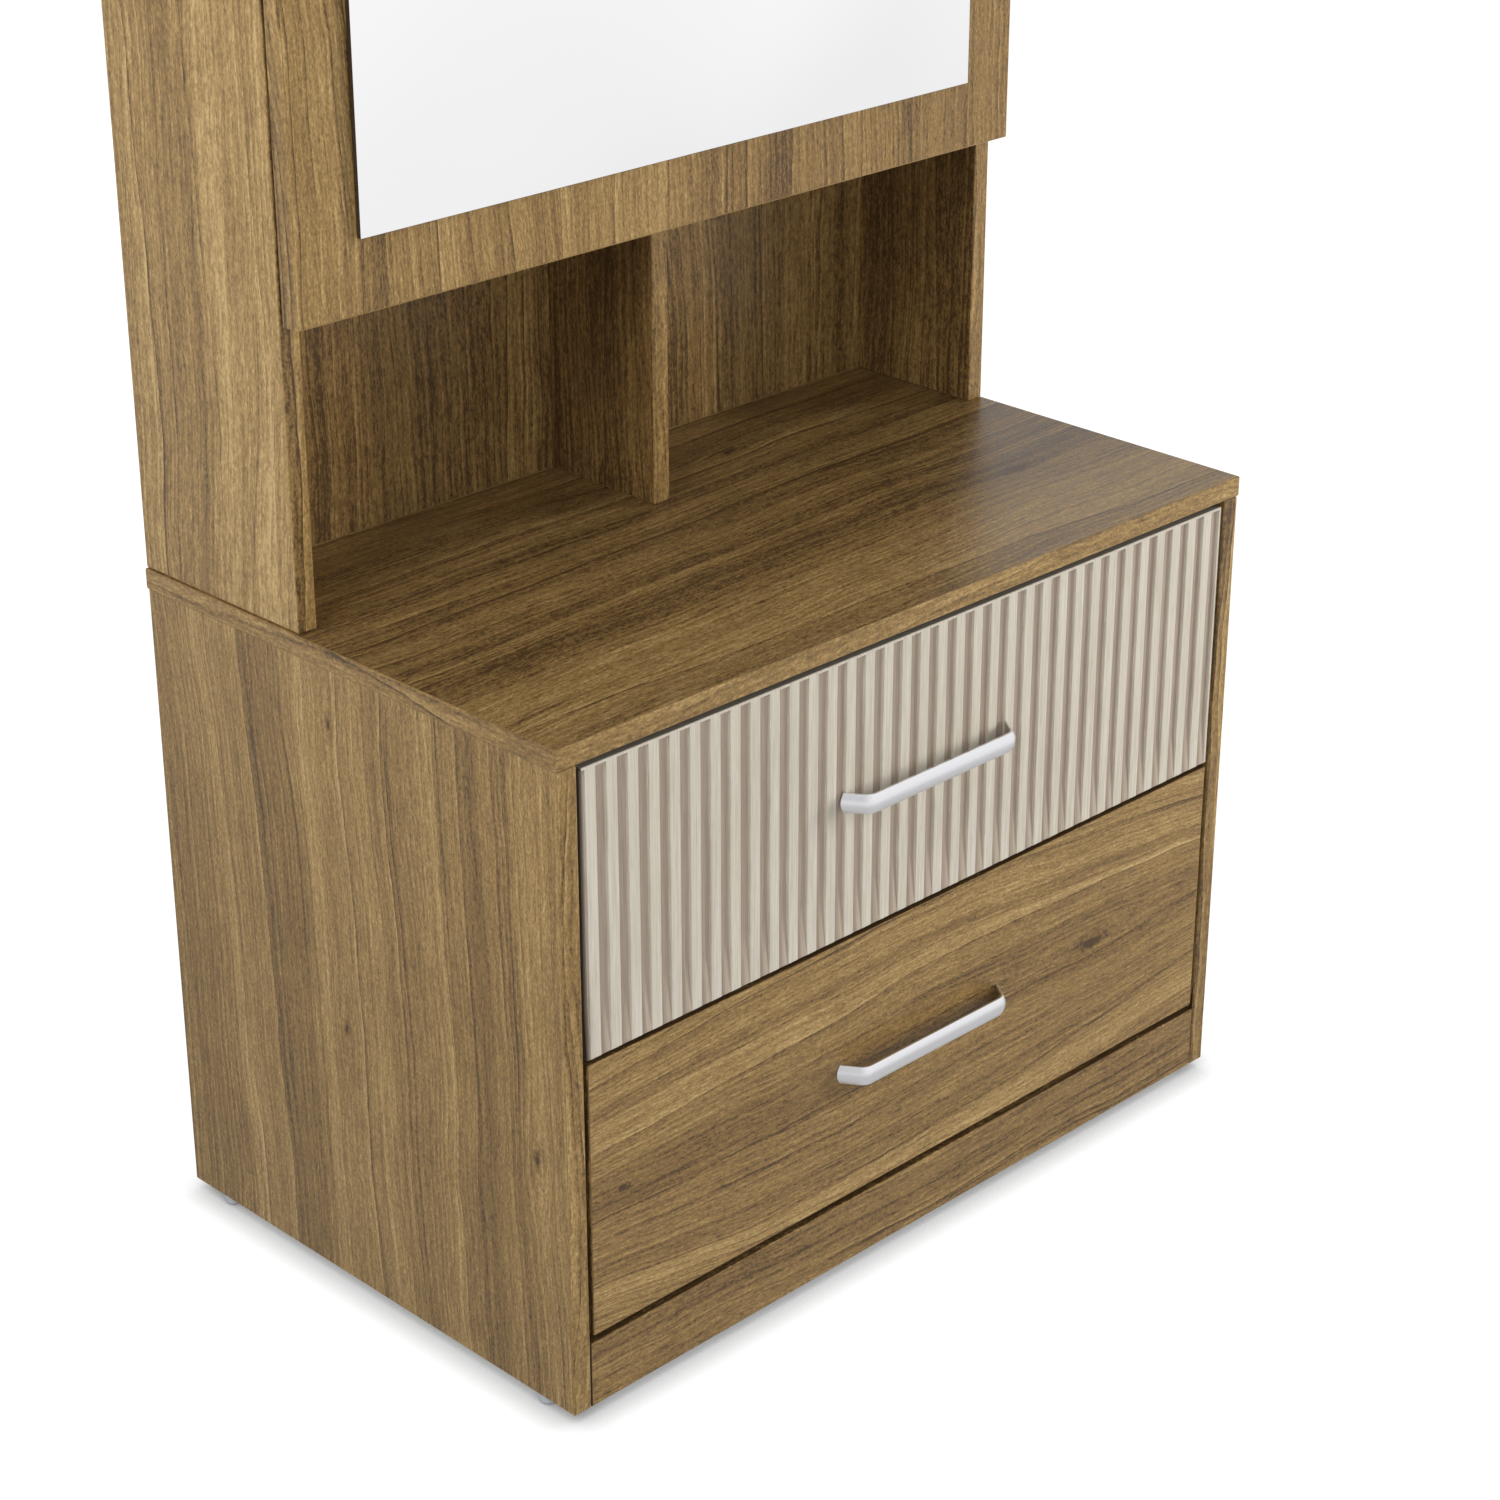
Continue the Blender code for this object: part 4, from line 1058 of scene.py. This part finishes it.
def slide_balls(level, finish):
    """Balls in their cages, in the outer and the inner race of each slide.

    A cage is a thin strip along the slide at the height of the balls' middles. All of it rides on
    the middle member, which stays between both races over the whole travel.
    """
    turn = np.linspace(0, math.pi, BALL_RINGS)
    points, faces = turned(np.column_stack((np.sin(turn), -np.cos(turn))), BALL_SIDES)
    for word in ("left", "right"):
        members = ("outer", "middle", "inner")
        outer, middle, inner = (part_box(f"{level}_slide_{member}_{word}") for member in members)
        races = (
            ("outer", outer, middle, SLIDE_OUTER_BALLS, SLIDE_OUTER_START),
            ("inner", middle, inner, SLIDE_INNER_BALLS, SLIDE_INNER_START),
        )
        for race, (around_low, around_high), (within_low, within_high), size, start in races:
            across = (max(around_low.x, within_low.x) + min(around_high.x, within_high.x)) / 2
            run = start + BALL_PITCH * np.arange(BALL_COUNT)
            inward = SLIDE_WALL + size / 2
            for edge, height in (("upper", around_high.z - inward), ("lower", around_low.z + inward)):
                places = np.column_stack((np.full_like(run, across), run, np.full_like(run, height)))
                balls, quads = repeated(points * (size / 2 - BALL_CLEAR), faces, places, Z, 1)
                low = (across - CAGE_SHARE * size, run[0] - CAGE_END, height - CAGE_HALF)
                high = (across + CAGE_SHARE * size, run[-1] + CAGE_END, height + CAGE_HALF)
                strip, strip_faces = rounded_box(low, high, CAGE_ARRIS, 1)[:2]
                name = f"{level}_slide_{race}_balls_{edge}_{word}"
                both, all_faces = np.concatenate((balls, strip)), [*quads, *(strip_faces + len(balls))]
                body = level + "_slide_middle"
                smooth(make_piece(name, both, all_faces, body, [finish]), 50)


def shelf_pins(finish):
    """Turned steel pins under both ends of each shelf, with a collar against the side panel."""
    points, faces = turned(PIN_OUTLINE, PIN_SIDES)
    for side, word in ((-1, "left"), (1, "right")):
        wall_low, wall_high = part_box("hutch_side_" + word)
        wall = wall_high.x if side < 0 else wall_low.x
        places = []
        for number in (1, 2):
            low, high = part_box(f"hutch_shelf_{number}")
            depth = high.y - low.y
            places += [(wall, low.y + share * depth, low.z - PIN_RADIUS) for share in SHELF_PINS]
        laid, laid_faces = repeated(points, faces, places, X, -side)
        smooth(make_piece("shelf_pins_" + word, laid, laid_faces, "root", [finish]), 30)


def catch(plastic, steel):
    """The magnetic catch: a moulded housing, and the steel poles in the face that meets the door."""
    low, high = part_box("door_catch")
    forms = [rounded_box((low.x, low.y + POLE_PROUD, low.z), high, CATCH_ROUND)]
    for level in (low.z + POLE_EDGE, high.z - POLE_EDGE - POLE_WALL):
        near = (low.x + POLE_INSET, low.y, level)
        far = (high.x - POLE_INSET, high.y - POLE_SHORT, level + POLE_WALL)
        forms.append(rounded_box(near, far, POLE_ROUND, 2))
    points, faces, _, normals = zip(*forms)
    starts = np.cumsum([0, *map(len, points)])
    which = np.repeat([0, 1, 1], [len(quads) for quads in faces])
    faces = np.concatenate([quads + start for quads, start in zip(faces, starts)])
    make_piece(
        "magnetic_catch", np.concatenate(points), faces, "root", [plastic, steel],
        ["door_catch"], which, np.concatenate(normals),
    )
    beside = (low.x + CATCH_SCREW_IN, high.x - CATCH_SCREW_IN)
    under = [(place, high.y - CATCH_SCREW_IN, low.z) for place in beside]
    screw_heads("catch_screws", under, Z, -1, *CATCH_SCREW, "root", steel)
    plate_low, plate_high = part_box("catch_strike_plate")
    middle = (plate_low + plate_high) / 2
    place = (middle.x, plate_high.y, middle.z)
    screw_heads("strike_plate_screw", [place], Y, 1, *FLUSH_SCREW, "mirror_door", steel)


bpy.context.scene.view_settings.view_transform = "Standard"
studio_world()
white_floor()
lamps()
camera()

knot_swirl()
walnut_print()
laminated_board()
walnut_board(
    "base_side_left", Z, 5.9, slope=-0.02,
    knots=((0.235, 0.020, 0.7), (-0.037, 0.018, 0.9), (-0.060, -0.214, 1.1)),
)
walnut_board("base_side_right", Z, 12.1, slope=-0.03, knots=((0.10, -0.12, 1.0),), edge_tone_and_shade=-0.14)
# Print darkened as painted shade of the top; its edge tone lifts the bands back
walnut_board(
    "base_top", X, 21.3, slope=-0.03, knots=((0.13, 0.11, 1.0), (0.28, -0.10, 1.0)),
    tone=-0.12, edge_tone_and_shade=0.16,
)
walnut_board("base_bottom", X, 31.9)
# Edge bands and end lines darkened as painted shade in the gaps round the plinth
walnut_board("plinth_front", X, 41.2, slope=0.02, tone=-0.17, edge_tone_and_shade=-0.45, end_gap_shade=0.0013)
walnut_board("plinth_rear", X, 47.5)
walnut_board("base_back_panel", Z, 52.6)
# Edge bands darkened as painted shade in the gaps round the front
walnut_board(
    "lower_drawer_front", X, 61.8, slope=0.03, bow=2.0,
    knots=((0.226, 0.001, 1.6), (-0.345, 0.0, 0.7)), edge_tone_and_shade=-0.6,
)
walnut_board("hutch_side_left", Z, 64.4, slope=0.01, knots=((0.02, 0.088, 1.0),), tone=0.05, edge_tone_and_shade=-0.15)
# Darkened as painted shade of the niche; its edge tone lifts its front edge back
walnut_board("hutch_side_right", Z, 82.7, knots=((-0.3, -0.02, 0.9),), tone=-0.20, edge_tone_and_shade=0.27)
walnut_board("hutch_top", X, 91.5)
walnut_board("hutch_floor", X, 99.2)
# Darkened as painted shade of the niche
walnut_board("hutch_divider", Z, 107.3, tone=-0.20, edge_tone_and_shade=0.06)
walnut_board("hutch_shelf_1", X, 114.6)
walnut_board("hutch_shelf_2", X, 122.9)
# Darkened as painted shade of the niche
walnut_board("hutch_back_panel", Z, 131.4, tone=-0.27)
walnut_board("hutch_hang_rail", X, 139.8)
walnut_board("door_panel", Z, 147.1, slope=0.02, edge_tone_and_shade=-0.06)

cream = cream_laminate(*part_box("upper_drawer_front"))
white = box_laminate()
nickel = satin_metal()
zinc = zinc_steel()
grey_plastic = moulded_plastic("grey_plastic", (172, 176, 182), (186, 190, 196))
brown_plastic = moulded_plastic("catch_plastic", (70, 48, 32), (86, 60, 40))
for node in NODES:
    if "_slide_" in node or node.startswith(("hinge_", "catch_strike")):
        dress(node, zinc)
    elif node.startswith("glide_"):
        dress(node, grey_plastic)
    elif "_drawer_side_" in node or node.endswith(("_drawer_back", "_drawer_bottom")):
        dress(node, white)

fluted_front(cream)
strap_handle("upper", nickel)
strap_handle("lower", nickel)
hinge_screws(zinc)
for level in ("upper", "lower"):
    drawer_fittings(level, zinc)
    slide_balls(level, zinc)
shelf_pins(zinc)
catch(brown_plastic, zinc)
backing = moulded_plastic("mirror_backing", (92, 96, 100), (110, 114, 118))
mirror(mirror_silver(), glass_edge_and_shade(), backing)
